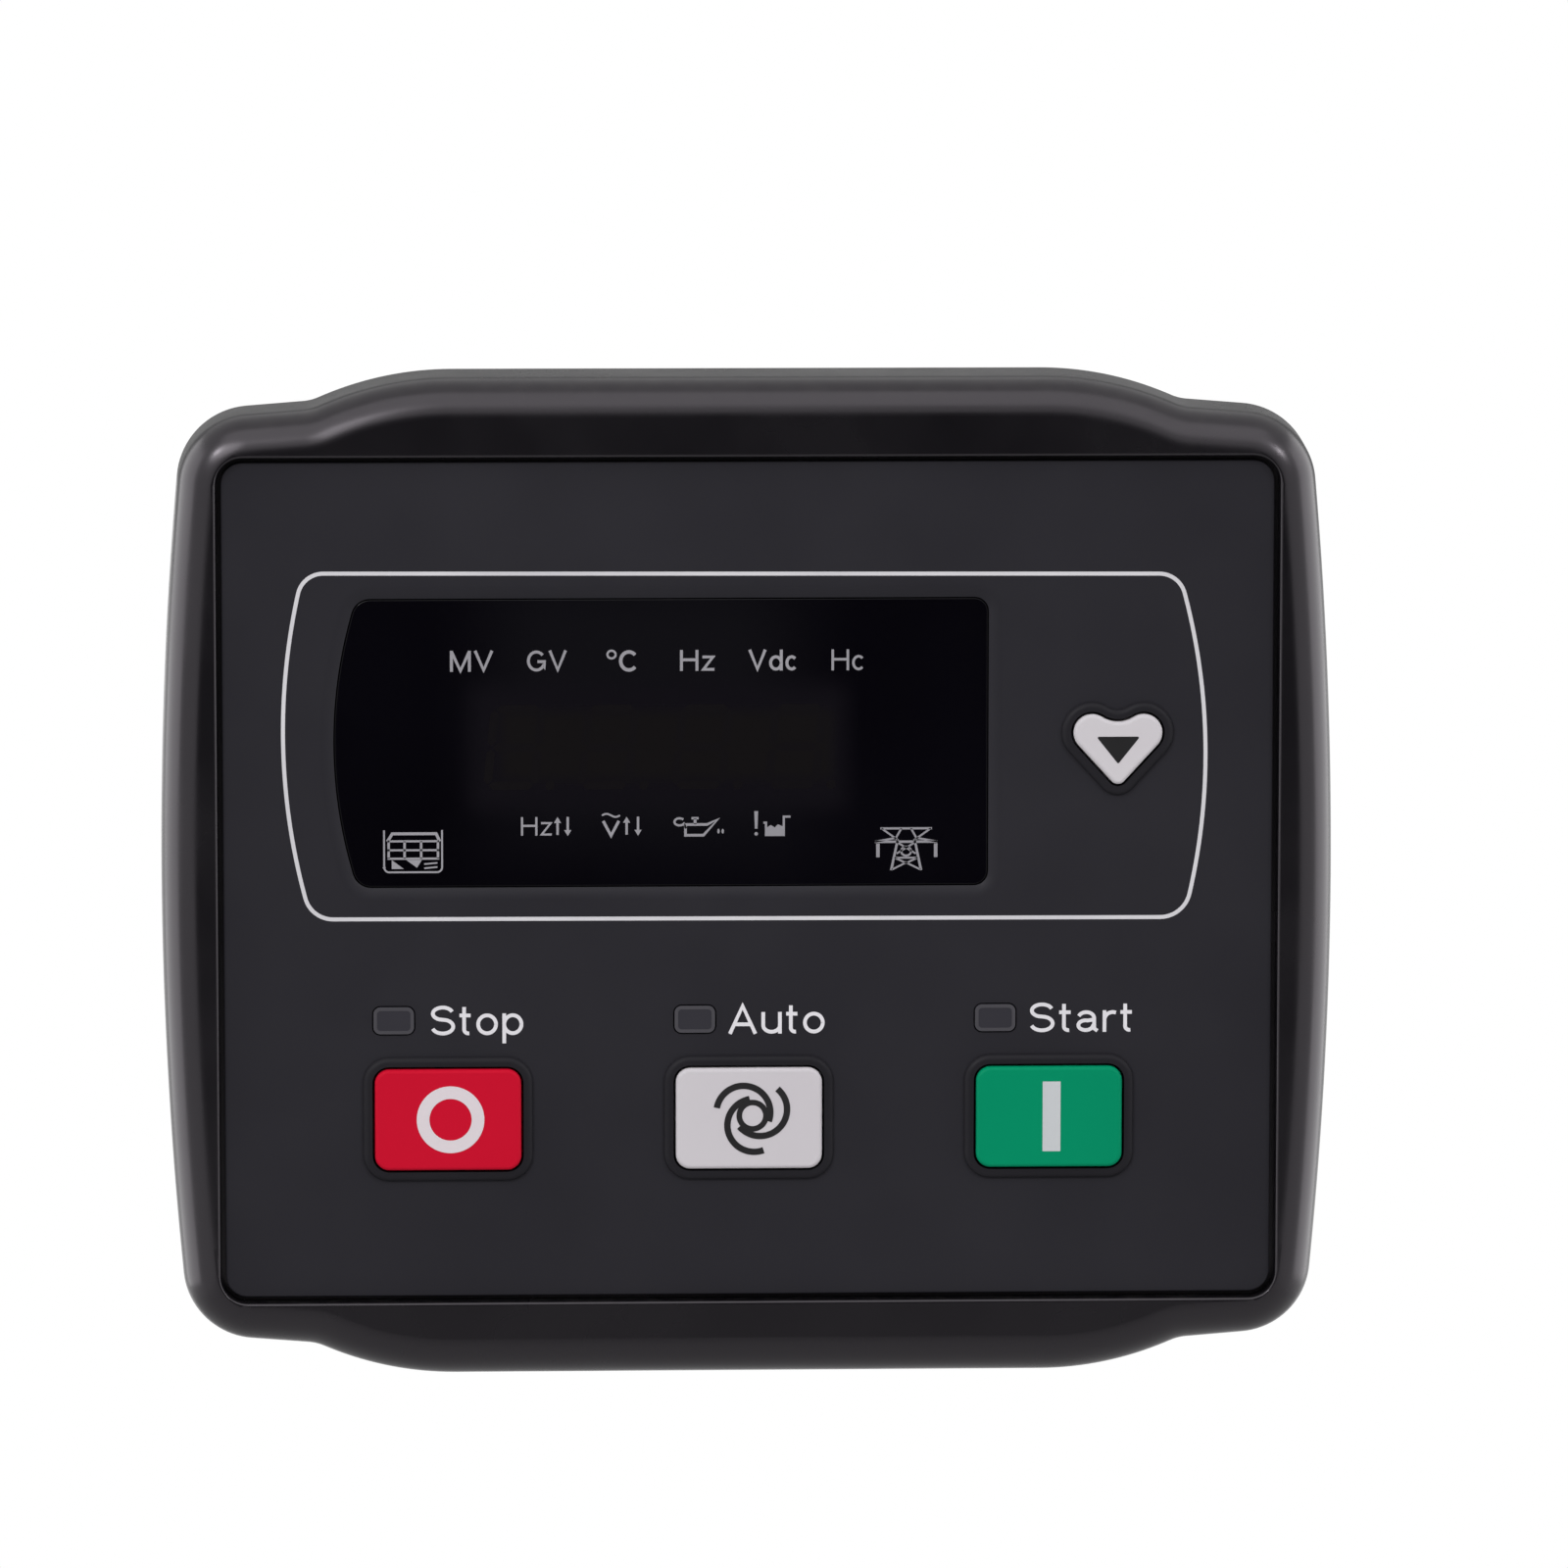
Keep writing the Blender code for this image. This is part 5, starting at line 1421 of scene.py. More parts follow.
class Alphabet:
    """Plain grotesque letters, drawn for one weight of stroke."""

    GAP = 0.14
    LOW = 0.73

    def __init__(self, weight: float) -> None:
        """Draw the letters.

        Args:
            weight: Width of the strokes, with a capital's height as 1.
        """
        self.t = weight / 2
        draw = {"S": self._s, "G": self._g, "C": self._c, "M": self._m, "V": self._v,
                "H": self._h, "A": self._a, "t": self._low_t, "o": self._low_o,
                "p": self._low_p, "u": self._low_u, "a": self._low_a, "r": self._low_r,
                "z": self._low_z, "d": self._low_d, "c": self._low_c, "*": self._degree}
        self.glyphs = {letter: one() for letter, one in draw.items()}

    def _s(self) -> Glyph:
        """Capital S."""
        t, w = self.t, 0.80
        low = (1 - 2 * t) * 0.265
        high = (1 - 2 * t) * 0.235
        upper = ellipse_arc(w / 2, 1 - t - high, w / 2 - t - 0.02, high, 18, 250, 18)
        return Glyph(w, [upper + ellipse_arc(w / 2, t + low, w / 2 - t, low, 72, -162, 18)])

    def _g(self) -> Glyph:
        """Capital G."""
        t, w = self.t, 0.94
        bowl = ellipse_arc(w / 2, 0.5, w / 2 - t, 0.5 - t, 40, 330, 26)
        return Glyph(w, [bowl + [(w - t, 0.2), (w - t, 0.47), (w * 0.55, 0.47)]])

    def _c(self) -> Glyph:
        """Capital C."""
        t, w = self.t, 0.88
        return Glyph(w, [ellipse_arc(w / 2, 0.5, w / 2 - t, 0.5 - t, 42, 318, 26)])

    def _m(self) -> Glyph:
        """Capital M."""
        t, w = self.t, 0.98
        middle = [(t, 1 - t * 0.4), (w / 2, t * 0.6), (w - t, 1 - t * 0.4)]
        return Glyph(w, [[(t, 0), (t, 1)], middle, [(w - t, 0), (w - t, 1)]])

    def _v(self) -> Glyph:
        """Capital V."""
        t, w = self.t, 0.90
        return Glyph(w, [[(t * 0.8, 1), (w / 2, t), (w - t * 0.8, 1)]])

    def _h(self) -> Glyph:
        """Capital H."""
        t, w = self.t, 0.84
        bar = [(t, 0.53), (w - t, 0.53)]
        return Glyph(w, [[(t, 0), (t, 1)], [(w - t, 0), (w - t, 1)], bar])

    def _a(self) -> Glyph:
        """Capital A."""
        t, w = self.t, 0.92
        sides = [(t * 0.8, 0), (w / 2, 1 - t), (w - t * 0.8, 0)]
        return Glyph(w, [sides, [(w * 0.2, 0.32), (w * 0.8, 0.32)]])

    def _low_t(self) -> Glyph:
        """Small t."""
        t, w, x = self.t, 0.40, 0.15
        foot = ellipse_arc(x + 0.14, t + 0.13, 0.14, 0.13, 180, 280, 8)
        return Glyph(w, [[(x, 0.95)] + foot, [(0.0, self.LOW - t), (w - 0.04, self.LOW - t)]])

    def _low_o(self) -> Glyph:
        """Small o."""
        t, w, half = self.t, 0.70, self.LOW / 2
        return Glyph(w, [ellipse_arc(w / 2, half, w / 2 - t, half - t, 0, 361, 28)])

    def _low_p(self) -> Glyph:
        """Small p."""
        t, w, half = self.t, 0.68, self.LOW / 2
        bowl = ellipse_arc(w / 2, half, w / 2 - t, half - t, 0, 361, 28)
        return Glyph(w, [[(t, -0.28), (t, self.LOW)], bowl])

    def _low_u(self) -> Glyph:
        """Small u."""
        t, w = self.t, 0.66
        bowl = ellipse_arc(w / 2, t + 0.22, w / 2 - t, 0.22, 180, 360, 14)
        return Glyph(w, [[(t, self.LOW)] + bowl, [(w - t, 0), (w - t, self.LOW)]])

    def _low_a(self) -> Glyph:
        """Small a."""
        t, w = self.t, 0.68
        stem = w - 0.06 - t
        roof = ellipse_arc(0.31, self.LOW - t - 0.2, stem - 0.31, 0.2, 160, 0, 12)
        bowl = ellipse_arc(0.29, t + 0.165, 0.29 - t, 0.165, 75, 330, 16)
        return Glyph(w, [roof + [(stem, 0.12), (w - 0.02, t * 0.6)],
                         [(stem, 0.42)] + bowl + [(stem, 0.27)]])

    def _low_r(self) -> Glyph:
        """Small r."""
        t, w = self.t, 0.42
        arm = ellipse_arc(t + 0.26, self.LOW - t - 0.26, 0.26, 0.26, 180, 68, 8)
        return Glyph(w, [[(t, 0), (t, self.LOW)], arm])

    def _low_z(self) -> Glyph:
        """Small z."""
        t, w, top = self.t, 0.60, self.LOW - self.t
        return Glyph(w, [[(0.04, top), (w - t * 1.2, top), (t * 1.2, t), (w - 0.02, t)]])

    def _low_d(self) -> Glyph:
        """Small d."""
        t, w, half = self.t, 0.68, self.LOW / 2
        bowl = ellipse_arc(w / 2, half, w / 2 - t, half - t, 0, 361, 28)
        return Glyph(w, [[(w - t, 0), (w - t, 1)], bowl])

    def _low_c(self) -> Glyph:
        """Small c."""
        t, w, half = self.t, 0.62, self.LOW / 2
        return Glyph(w, [ellipse_arc(w / 2, half, w / 2 - t, half - t, 44, 316, 20)])

    def _degree(self) -> Glyph:
        """Degree ring."""
        ring = ellipse_arc(0.22, 0.80, 0.18, 0.18, 0, 361, 20)
        return Glyph(0.40, [ring], 0.62)


@dataclass
class Lettering:
    """One word, stretched to its measured width."""

    text: str
    left: float
    right: float
    base: float
    cap: float
    weight: float
    step: float = 0.002

    def draw(self, mark: Print) -> None:
        """Draw the word's strokes, each a little proud of the last, so that no faces coincide.

        Args:
            mark: The piece.
        """
        alphabet = Alphabet(self.weight / self.cap)
        glyphs = [alphabet.glyphs[letter] for letter in self.text]
        total = sum(glyph.width for glyph in glyphs) + Alphabet.GAP * (len(glyphs) - 1)
        across = (self.right - self.left) / total
        place = 0.0
        for glyph in glyphs:
            for number, line in enumerate(glyph.lines):
                path = [(self.left + (place + x) * across, self.base + z * self.cap)
                        for x, z in line]
                mark.line(path, self.weight * glyph.weight, number * self.step)
            place += glyph.width + Alphabet.GAP


@dataclass
class DisplayWindow:
    """The smoked window with its legends, symbols and unlit digits."""

    shop: Workshop
    layout: Layout
    flange: float = 1.2
    gap: float = 0.1
    edge: float = 0.08
    digits: int = 4
    digit_left: float = -22.1
    digit_pitch: float = 7.8
    digit_width: float = 4.6
    digit_bottom: float = 7.6
    digit_height: float = 7.1
    digit_relief: float = 0.006
    segment: float = 0.7
    segment_gap: float = 0.12
    dot_shift: float = 0.95
    slant: float = 0.1

    def build(self) -> None:
        """Make the lens and everything printed on it."""
        layout = self.layout
        window = layout.window()
        seat = layout.facia_seat + CLEARANCE
        rings = [(window.points(-self.gap - inset), layout.lens_front + depth)
                 for inset, depth in quarter_round(self.edge, 3)]
        rings += [(window.points(-self.gap), seat), (window.points(self.flange), seat),
                  (window.points(self.flange), layout.lens_rear)]
        lens = Solid("smoked_lens").loft(rings).object()
        self.shop.even(lens)
        self.shop.install(lens, LENS, replaces=("display_lens",))
        self._legends()
        self._symbols()
        self._digits()

    def _legends(self) -> None:
        """Unit names along the top and the small ones below the digits."""
        words = (("MV", -24.8, -21.2, 17.5, 1.75, 0.25), ("GV", -18.4, -15.1, 17.5, 1.75, 0.24),
                 ("*C", -11.8, -9.1, 17.45, 1.8, 0.29), ("Hz", -5.7, -2.8, 17.5, 1.75, 0.24),
                 ("Vdc", 0.0, 4.1, 17.5, 1.75, 0.25), ("Hc", 6.9, 9.7, 17.5, 1.75, 0.21),
                 ("Hz", -18.95, -16.35, 3.75, 1.55, 0.18))
        for number, word in enumerate(words, 1):
            mark = Print(f"legend_{number}", self.layout.lens_front)
            Lettering(*word).draw(mark)
            self.shop.install(mark.object(), LEGEND)

    def _symbols(self) -> None:
        """Pictograms of the window."""
        for name, draw in (("arrows", self._arrows), ("volt", self._volt),
                           ("oil_can", self._oil_can), ("coolant", self._coolant),
                           ("generator", self._generator), ("pylon", self._pylon)):
            mark = Print("symbol_" + name, self.layout.lens_front)
            draw(mark)
            self.shop.install(mark.object(), LEGEND)

    @staticmethod
    def _arrow(mark: Print, x: float, tail: float, tip: float) -> None:
        """One upright arrow.

        Args:
            mark: The piece.
            x: Its place across.
            tail: Height of its tail.
            tip: Height of its tip.
        """
        facing = 1 if tip > tail else -1
        neck = tip - 0.5 * facing
        mark.line([(x, tail), (x, neck)], 0.2)
        mark.area([(x - 0.3, neck), (x, tip), (x + 0.3, neck)])

    def _arrows(self, mark: Print) -> None:
        """Up and down arrows beside the two low unit names.

        Args:
            mark: The piece.
        """
        for up, down in ((-15.9, -15.05), (-10.15, -9.2)):
            self._arrow(mark, up, 3.8, 5.3)
            self._arrow(mark, down, 5.3, 3.7)

    @staticmethod
    def _volt(mark: Print) -> None:
        """Letter V under an alternating wave.

        Args:
            mark: The piece.
        """
        mark.line([(-12.1, 4.95), (-11.45, 3.72), (-10.8, 4.95)], 0.24)
        wave = [(-12.2 + 0.1 * k, 5.42 + 0.13 * math.sin(k * math.tau / 15)) for k in range(16)]
        mark.line(wave, 0.15)

    @staticmethod
    def _oil_can(mark: Print) -> None:
        """Oil can with its spout, handle, knob and drops.

        Args:
            mark: The piece.
        """
        can = [(-5.25, 3.72), (-3.75, 3.72), (-2.55, 5.05), (-3.45, 4.62), (-5.25, 4.62)]
        mark.line(can, 0.22, closed=True)
        mark.line(ellipse_arc(-5.75, 4.85, 0.42, 0.3, 40, 330) + [(-5.2, 4.3)], 0.18)
        mark.line([(-4.45, 4.65), (-4.45, 5.12)], 0.24)
        mark.line([(-4.75, 5.15), (-4.15, 5.15)], 0.2)
        for x in (-2.5, -2.15):
            mark.area(ellipse_arc(x, 4.05, 0.1, 0.2, 0, 330, 11))

    @staticmethod
    def _coolant(mark: Print) -> None:
        """Part-filled tank with its filler, beside a warning stroke.

        Args:
            mark: The piece.
        """
        mark.area([(0.53, 4.25), (0.75, 4.25), (0.8, 5.72), (0.48, 5.72)])
        mark.area(ellipse_arc(0.64, 3.82, 0.15, 0.15, 0, 330, 11))
        mark.area([(1.55, 3.62), (2.85, 3.62), (2.85, 4.45), (2.45, 4.6), (2.2, 4.35),
                   (1.85, 4.55), (1.55, 4.35)][::-1])
        mark.line([(1.46, 3.62), (1.46, 4.75), (1.25, 4.75)], 0.18)
        mark.line([(2.94, 3.62), (2.94, 5.25), (3.5, 5.25)], 0.18)

    @staticmethod
    def _generator(mark: Print) -> None:
        """Generating set: a skid with side posts, a hood and a grille of six openings.

        Args:
            mark: The piece.
        """
        left = ellipse_arc(-29.9, 1.15, 0.43, 0.43, 180, 270, 6)
        right = ellipse_arc(-25.94, 1.15, 0.43, 0.43, 270, 360, 6)
        mark.line([(-30.33, 4.25), (-30.33, 1.15)] + left + right + [(-25.51, 4.25)], 0.15)
        mark.line([(-30.05, 3.3), (-29.65, 3.95), (-26.0, 3.95), (-25.7, 3.3)], 0.24)
        for z in (3.32, 2.57, 1.86):
            mark.line([(-30.05, z), (-25.75, z)], 0.17)
        for x in (-29.95, -28.63, -27.25, -25.85):
            mark.line([(x, 1.86), (x, 3.32)], 0.2)
        mark.area([(-29.7, 1.75), (-28.7, 1.0), (-29.7, 1.0)][::-1])
        mark.area([(-28.5, 1.75), (-27.2, 1.75), (-27.6, 1.1)][::-1])
        for z in (1.05, 1.4):
            mark.line([(-27.0, z), (-25.9, z + 0.1)], 0.13)

    @staticmethod
    def _pylon(mark: Print) -> None:
        """Pylon with two cross-arms, bracing and hanging insulators.

        Args:
            mark: The piece.
        """
        mark.line([(11.0, 4.22), (15.3, 4.22)], 0.18)
        mark.line([(10.55, 3.1), (12.3, 3.42), (12.75, 4.22)], 0.16)
        mark.line([(15.75, 3.1), (14.0, 3.42), (13.55, 4.22)], 0.16)
        mark.line([(11.1, 4.22), (12.45, 3.25)], 0.15)
        mark.line([(15.2, 4.22), (13.85, 3.25)], 0.15)
        mark.line([(10.55, 3.1), (15.75, 3.1)], 0.2)
        mark.line([(12.45, 3.3), (11.9, 0.7)], 0.2)
        mark.line([(13.85, 3.3), (14.4, 0.7)], 0.2)
        mark.line([(12.4, 3.05), (13.95, 2.1)], 0.15)
        mark.line([(13.9, 3.05), (12.35, 2.1)], 0.15)
        mark.line(ellipse_arc(13.15, 2.3, 0.42, 0.38, 0, 361, 12), 0.16)
        mark.line([(12.2, 1.75), (14.1, 1.75)], 0.15)
        mark.line([(12.2, 1.75), (13.15, 1.3), (14.1, 1.75)], 0.15)
        mark.line([(11.95, 0.75), (13.15, 1.35), (14.35, 0.75)], 0.15)
        for x in (10.78, 15.6):
            mark.box(x - 0.13, x + 0.16, mark.front, mark.rear, 1.8, 2.95)

    def _digits(self) -> None:
        """The unlit segments as they show through the window."""
        level = self.layout.lens_front
        for number in range(self.digits):
            solid = Solid(f"unlit_digit_{number + 1}")
            for segment in self._segments(self.digit_left + number * self.digit_pitch):
                solid.prism(segment, level - self.digit_relief, level + Print.HALF)
            self.shop.install(solid.object(), GHOST)

    def _segments(self, left: float) -> list[list[Point]]:
        """Outlines of the seven segments and the point of one digit.

        Args:
            left: Left edge of the digit's foot.

        Returns:
            The outlines.
        """
        w, h, t, gap = self.digit_width, self.digit_height, self.segment, self.segment_gap
        half = h / 2

        def across(z: float) -> list[Point]:
            """A level segment at a height."""
            return [(t / 2 + gap, z), (t + gap, z - t / 2), (w - t - gap, z - t / 2),
                    (w - t / 2 - gap, z), (w - t - gap, z + t / 2), (t + gap, z + t / 2)]

        def along(x: float, z0: float, z1: float) -> list[Point]:
            """An upright segment between two heights."""
            return [(x, z0 + gap), (x + t / 2, z0 + t / 2 + gap), (x + t / 2, z1 - t / 2 - gap),
                    (x, z1 - gap), (x - t / 2, z1 - t / 2 - gap), (x - t / 2, z0 + t / 2 + gap)]

        shapes = [across(t / 2), across(half), across(h - t / 2)]
        for x in (t / 2, w - t / 2):
            shapes += [along(x, t / 2, half), along(x, half, h - t / 2)]
        shapes.append(Outline.circle(w + self.dot_shift, t / 2, t * 0.55, 16).points())
        return [[(left + x + self.slant * z, self.digit_bottom + z) for x, z in shape]
                for shape in shapes]


@dataclass
class Keys:
    """The four key caps and the symbols on them."""

    shop: Workshop
    layout: Layout
    edge: float = 0.34
    lip: float = 0.8
    lip_gap: float = 0.3
    lip_depth: float = 1.0
    stem: float = 1.8
    stem_end: float = -0.63
    stop_centre: Point = (-24.9, -19.95)
    stop_radii: Point = (2.82, 1.76)
    auto_centre: Point = (0.3, -19.75)
    auto_radii: Point = (1.35, 0.88)
    arc_swing: float = 0.82
    arc_radius: float = 2.25
    arc_sweep: float = 190.0
    arc_steps: int = 36
    arc_width: float = 0.54
    arc_rise: float = 0.004
    arc_turns: tuple[float, ...] = (160.0, 280.0, 40.0)
    bar_centre: Point = (25.3, -19.95)
    bar_half: Point = (0.75, 2.95)
    mark_half: float = 1.82
    mark_levels: Point = (12.0, 9.72)
    mark_corner: float = 0.1
    finishes: dict[str, tuple[Finish, Body]] = field(default_factory=lambda: {
        "stop": (RED, Body.STOP), "auto": (WHITE, Body.AUTO), "start": (GREEN, Body.START),
        "scroll": (WHITE, Body.SCROLL)})

    def build(self) -> None:
        """Make every key."""
        layout = self.layout
        lip_front = layout.wall_rear + self.lip_gap
        for name, (finish, body) in self.finishes.items():
            outline = layout.key(name)
            x, z = layout.places()[name]
            rings = [(outline.points(-inset), layout.key_top + depth)
                     for inset, depth in quarter_round(self.edge, 6)]
            rings += [(outline.points(), lip_front), (outline.points(self.lip), lip_front),
                      (outline.points(self.lip), lip_front + self.lip_depth)]
            cap = Solid("cap_" + name).loft(rings).object()
            circle = Outline.circle(x, z, self.stem)
            stem = Solid("stem").prism(circle.points(), lip_front + OVERLAP, self.stem_end)
            self.shop.cut(cap, [("UNION", stem)])
            self.shop.even(cap)
            self.shop.install(cap, finish, body, ("key_" + name,))
        self._stop_ring()
        self._auto_symbol()
        self._start_bar()
        self._scroll_mark()

    def _stop_ring(self) -> None:
        """Ring on the stop key."""
        outer, inner = (Outline.circle(*self.stop_centre, r, 64) for r in self.stop_radii)
        mark = Print("stop_ring", self.layout.key_top)
        mark.band(outer.points(), inner.points())
        self.shop.install(mark.object(), KEY_INK_RED, Body.STOP)

    def _auto_symbol(self) -> None:
        """Ring with three arcs that swing round it, on the auto key."""
        x, z = self.auto_centre
        outer, inner = (Outline.circle(x, z, r, 48) for r in self.auto_radii)
        mark = Print("auto_symbol", self.layout.key_top)
        mark.band(outer.points(), inner.points())
        sweep = math.radians(self.arc_sweep)
        for degrees in self.arc_turns:
            angle = math.radians(degrees)
            cx, cz = x + self.arc_swing * math.cos(angle), z + self.arc_swing * math.sin(angle)
            turns = [angle + math.pi + sweep * k / self.arc_steps
                     for k in range(self.arc_steps + 1)]
            path = [(cx + self.arc_radius * math.cos(turn), cz + self.arc_radius * math.sin(turn))
                    for turn in turns]
            mark.stroke(path, self.arc_width, mark.front - self.arc_rise, mark.rear)
        self.shop.install(mark.object(), KEY_INK_DARK, Body.AUTO)

    def _start_bar(self) -> None:
        """Upright bar on the start key."""
        (x, z), (wide, tall) = self.bar_centre, self.bar_half
        mark = Print("start_bar", self.layout.key_top)
        mark.box(x - wide, x + wide, mark.front, mark.rear, z - tall, z + tall)
        self.shop.install(mark.object(), KEY_INK_GREEN, Body.START)

    def _scroll_mark(self) -> None:
        """Triangle on the scroll key."""
        x, _ = self.layout.places()["scroll"]
        high, low = self.mark_levels
        outline = Outline.rounded([(x + self.mark_half, high, self.mark_corner, 4),
                                   (x - self.mark_half, high, self.mark_corner, 4),
                                   (x, low, self.mark_corner, 4)])
        mark = Print("scroll_mark", self.layout.key_top)
        mark.area(outline.points())
        self.shop.install(mark.object(), KEY_INK_DARK, Body.SCROLL)


@dataclass
class Lamps:
    """The status lamps' light pipes."""

    shop: Workshop
    layout: Layout
    edge: float = 0.06
    flange: float = 0.5
    rear: float = 2.3

    def build(self) -> None:
        """Make the three light pipes."""
        layout = self.layout
        front = layout.facia_front - layout.lamp_rise
        seat = layout.wall_rear + CLEARANCE
        for name in layout.lamps():
            outline = layout.lamp(name)
            narrow, wide = outline.points(), outline.points(self.flange)
            rings = [(outline.points(-inset), front + depth)
                     for inset, depth in quarter_round(self.edge, 3)]
            rings += [(narrow, seat), (wide, seat), (wide, seat + self.flange),
                      (narrow, seat + self.flange), (narrow, self.rear)]
            pipe = Solid("pipe_" + name).loft(rings).object()
            self.shop.even(pipe)
            self.shop.install(pipe, LAMP, replaces=("light_pipe_" + name,))


class Drive(Enum):
    """Recess in a screw's head."""

    CROSS = "cross"
    SLOT = "slot"


@dataclass
class Screw:
    """A pan head screw with a rolled thread, in the place of its node and facing the rear."""

    shop: Workshop
    node: str
    shank: float
    head_height: float
    pitch: float
    drive: Drive
    steps: int = 32
    head_steps: int = 6
    head_flat: float = 0.70
    head_round: float = 0.30
    head_roll: float = 0.5
    edge: float = 0.1
    neck: float = 0.3
    turn_steps: int = 8
    depth: float = 0.5
    tip_radius: float = 0.55
    crest_slope: float = 1.25
    slot_half: float = 0.5
    slot_depth: float = 0.42
    cross_depth: float = 0.62
    cross_length: Point = (0.56, 0.25)
    cross_width: Point = (0.15, 0.12)
    cross_over: float = 0.2
    smooth: float = 35.0

    def build(self) -> None:
        """Make the screw where its node is."""
        low, high = ([value / MM for value in corner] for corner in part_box(self.node))
        x, z = (low[0] + high[0]) / 2, (low[2] + high[2]) / 2
        head, top, tip = (high[0] - low[0]) / 2, high[1], low[1]
        seat = top - self.head_height
        rings = []
        for i in range(self.head_steps + 1):
            angle = math.pi / 2 * i / self.head_steps
            radius = head * (self.head_flat + self.head_round * math.sin(angle))
            level = top - self.head_height * self.head_roll * (1 - math.cos(angle))
            rings.append((self._ring(x, z, [radius]), level))
        rings += [(self._ring(x, z, [head]), seat + self.edge),
                  (self._ring(x, z, [head - self.edge]), seat),
                  (self._ring(x, z, [self.shank - self.edge]), seat)]
        rings += self._thread(x, z, seat - self.neck, tip)
        screw = Solid(self.node + "_threaded").loft(rings).object()
        self.shop.cut(screw, [("DIFFERENCE", tool) for tool in self._recess(x, z, head, top)])
        self.shop.even(screw, self.smooth)
        self.shop.install(screw, STEEL, replaces=(self.node,))

    def _ring(self, x: float, z: float, radii: Sequence[float]) -> list[Point]:
        """One ring of points round the screw.

        Args:
            x: Axis across.
            z: Axis up.
            radii: Radius of each point, or one for all.

        Returns:
            The points.
        """
        found = []
        for k in range(self.steps):
            radius = radii[k % len(radii)]
            found.append((x + radius * math.cos(math.tau * k / self.steps),
                          z + radius * math.sin(math.tau * k / self.steps)))
        return found

    def _thread(self, x: float, z: float, start: float,
                tip: float) -> list[tuple[list[Point], float]]:
        """Rings of the thread, whose crest winds round the shank, down to a blunt tip.

        Args:
            x: Axis across.
            z: Axis up.
            start: Level where the thread starts.
            tip: Level of the tip.

        Returns:
            Points and level of each ring.
        """
        rings = []
        count = int((start - tip) / self.pitch * self.turn_steps)
        depth = self.depth * self.pitch
        for i in range(count + 1):
            level = start + (tip - start) * i / count
            room = self.shank * self.tip_radius + (level - tip)
            radii = []
            for k in range(self.steps):
                phase = (level / self.pitch - k / self.steps) % 1.0
                crest = min(1.0, self.crest_slope * (1 - abs(2 * phase - 1)))
                radii.append(min(self.shank - depth * (1 - crest), room))
            rings.append((self._ring(x, z, radii), level))
        return rings

    def _recess(self, x: float, z: float, head: float, top: float) -> list[Solid]:
        """Cutters of the recess in the head.

        Args:
            x: Axis across.
            z: Axis up.
            head: Radius of the head.
            top: Level of the head's top.

        Returns:
            The cutters.
        """
        if self.drive is Drive.SLOT:
            half, floor = self.slot_half, top - self.slot_depth * self.head_height
            return [Solid("slot_cutter").box(x - head - OVERLAP, x + head + OVERLAP, floor,
                                             top + OVERLAP, z - half, z + half)]
        deep = top - self.cross_depth * self.head_height
        long_top, long_end = (share * head for share in self.cross_length)
        thin_top, thin_end = (share * head for share in self.cross_width)
        bar = [(long_top, thin_top, top + self.cross_over), (long_top, thin_top, top),
               (long_end, thin_end, deep)]
        post = [(h, w, level) for w, h, level in bar]
        tools = []
        for name, sizes in (("cross_bar", bar), ("cross_post", post)):
            rings = [([(x - w, z - h), (x + w, z - h), (x + w, z + h), (x - w, z + h)], level)
                     for w, h, level in sizes]
            tools.append(Solid(name).loft(rings))
        return tools


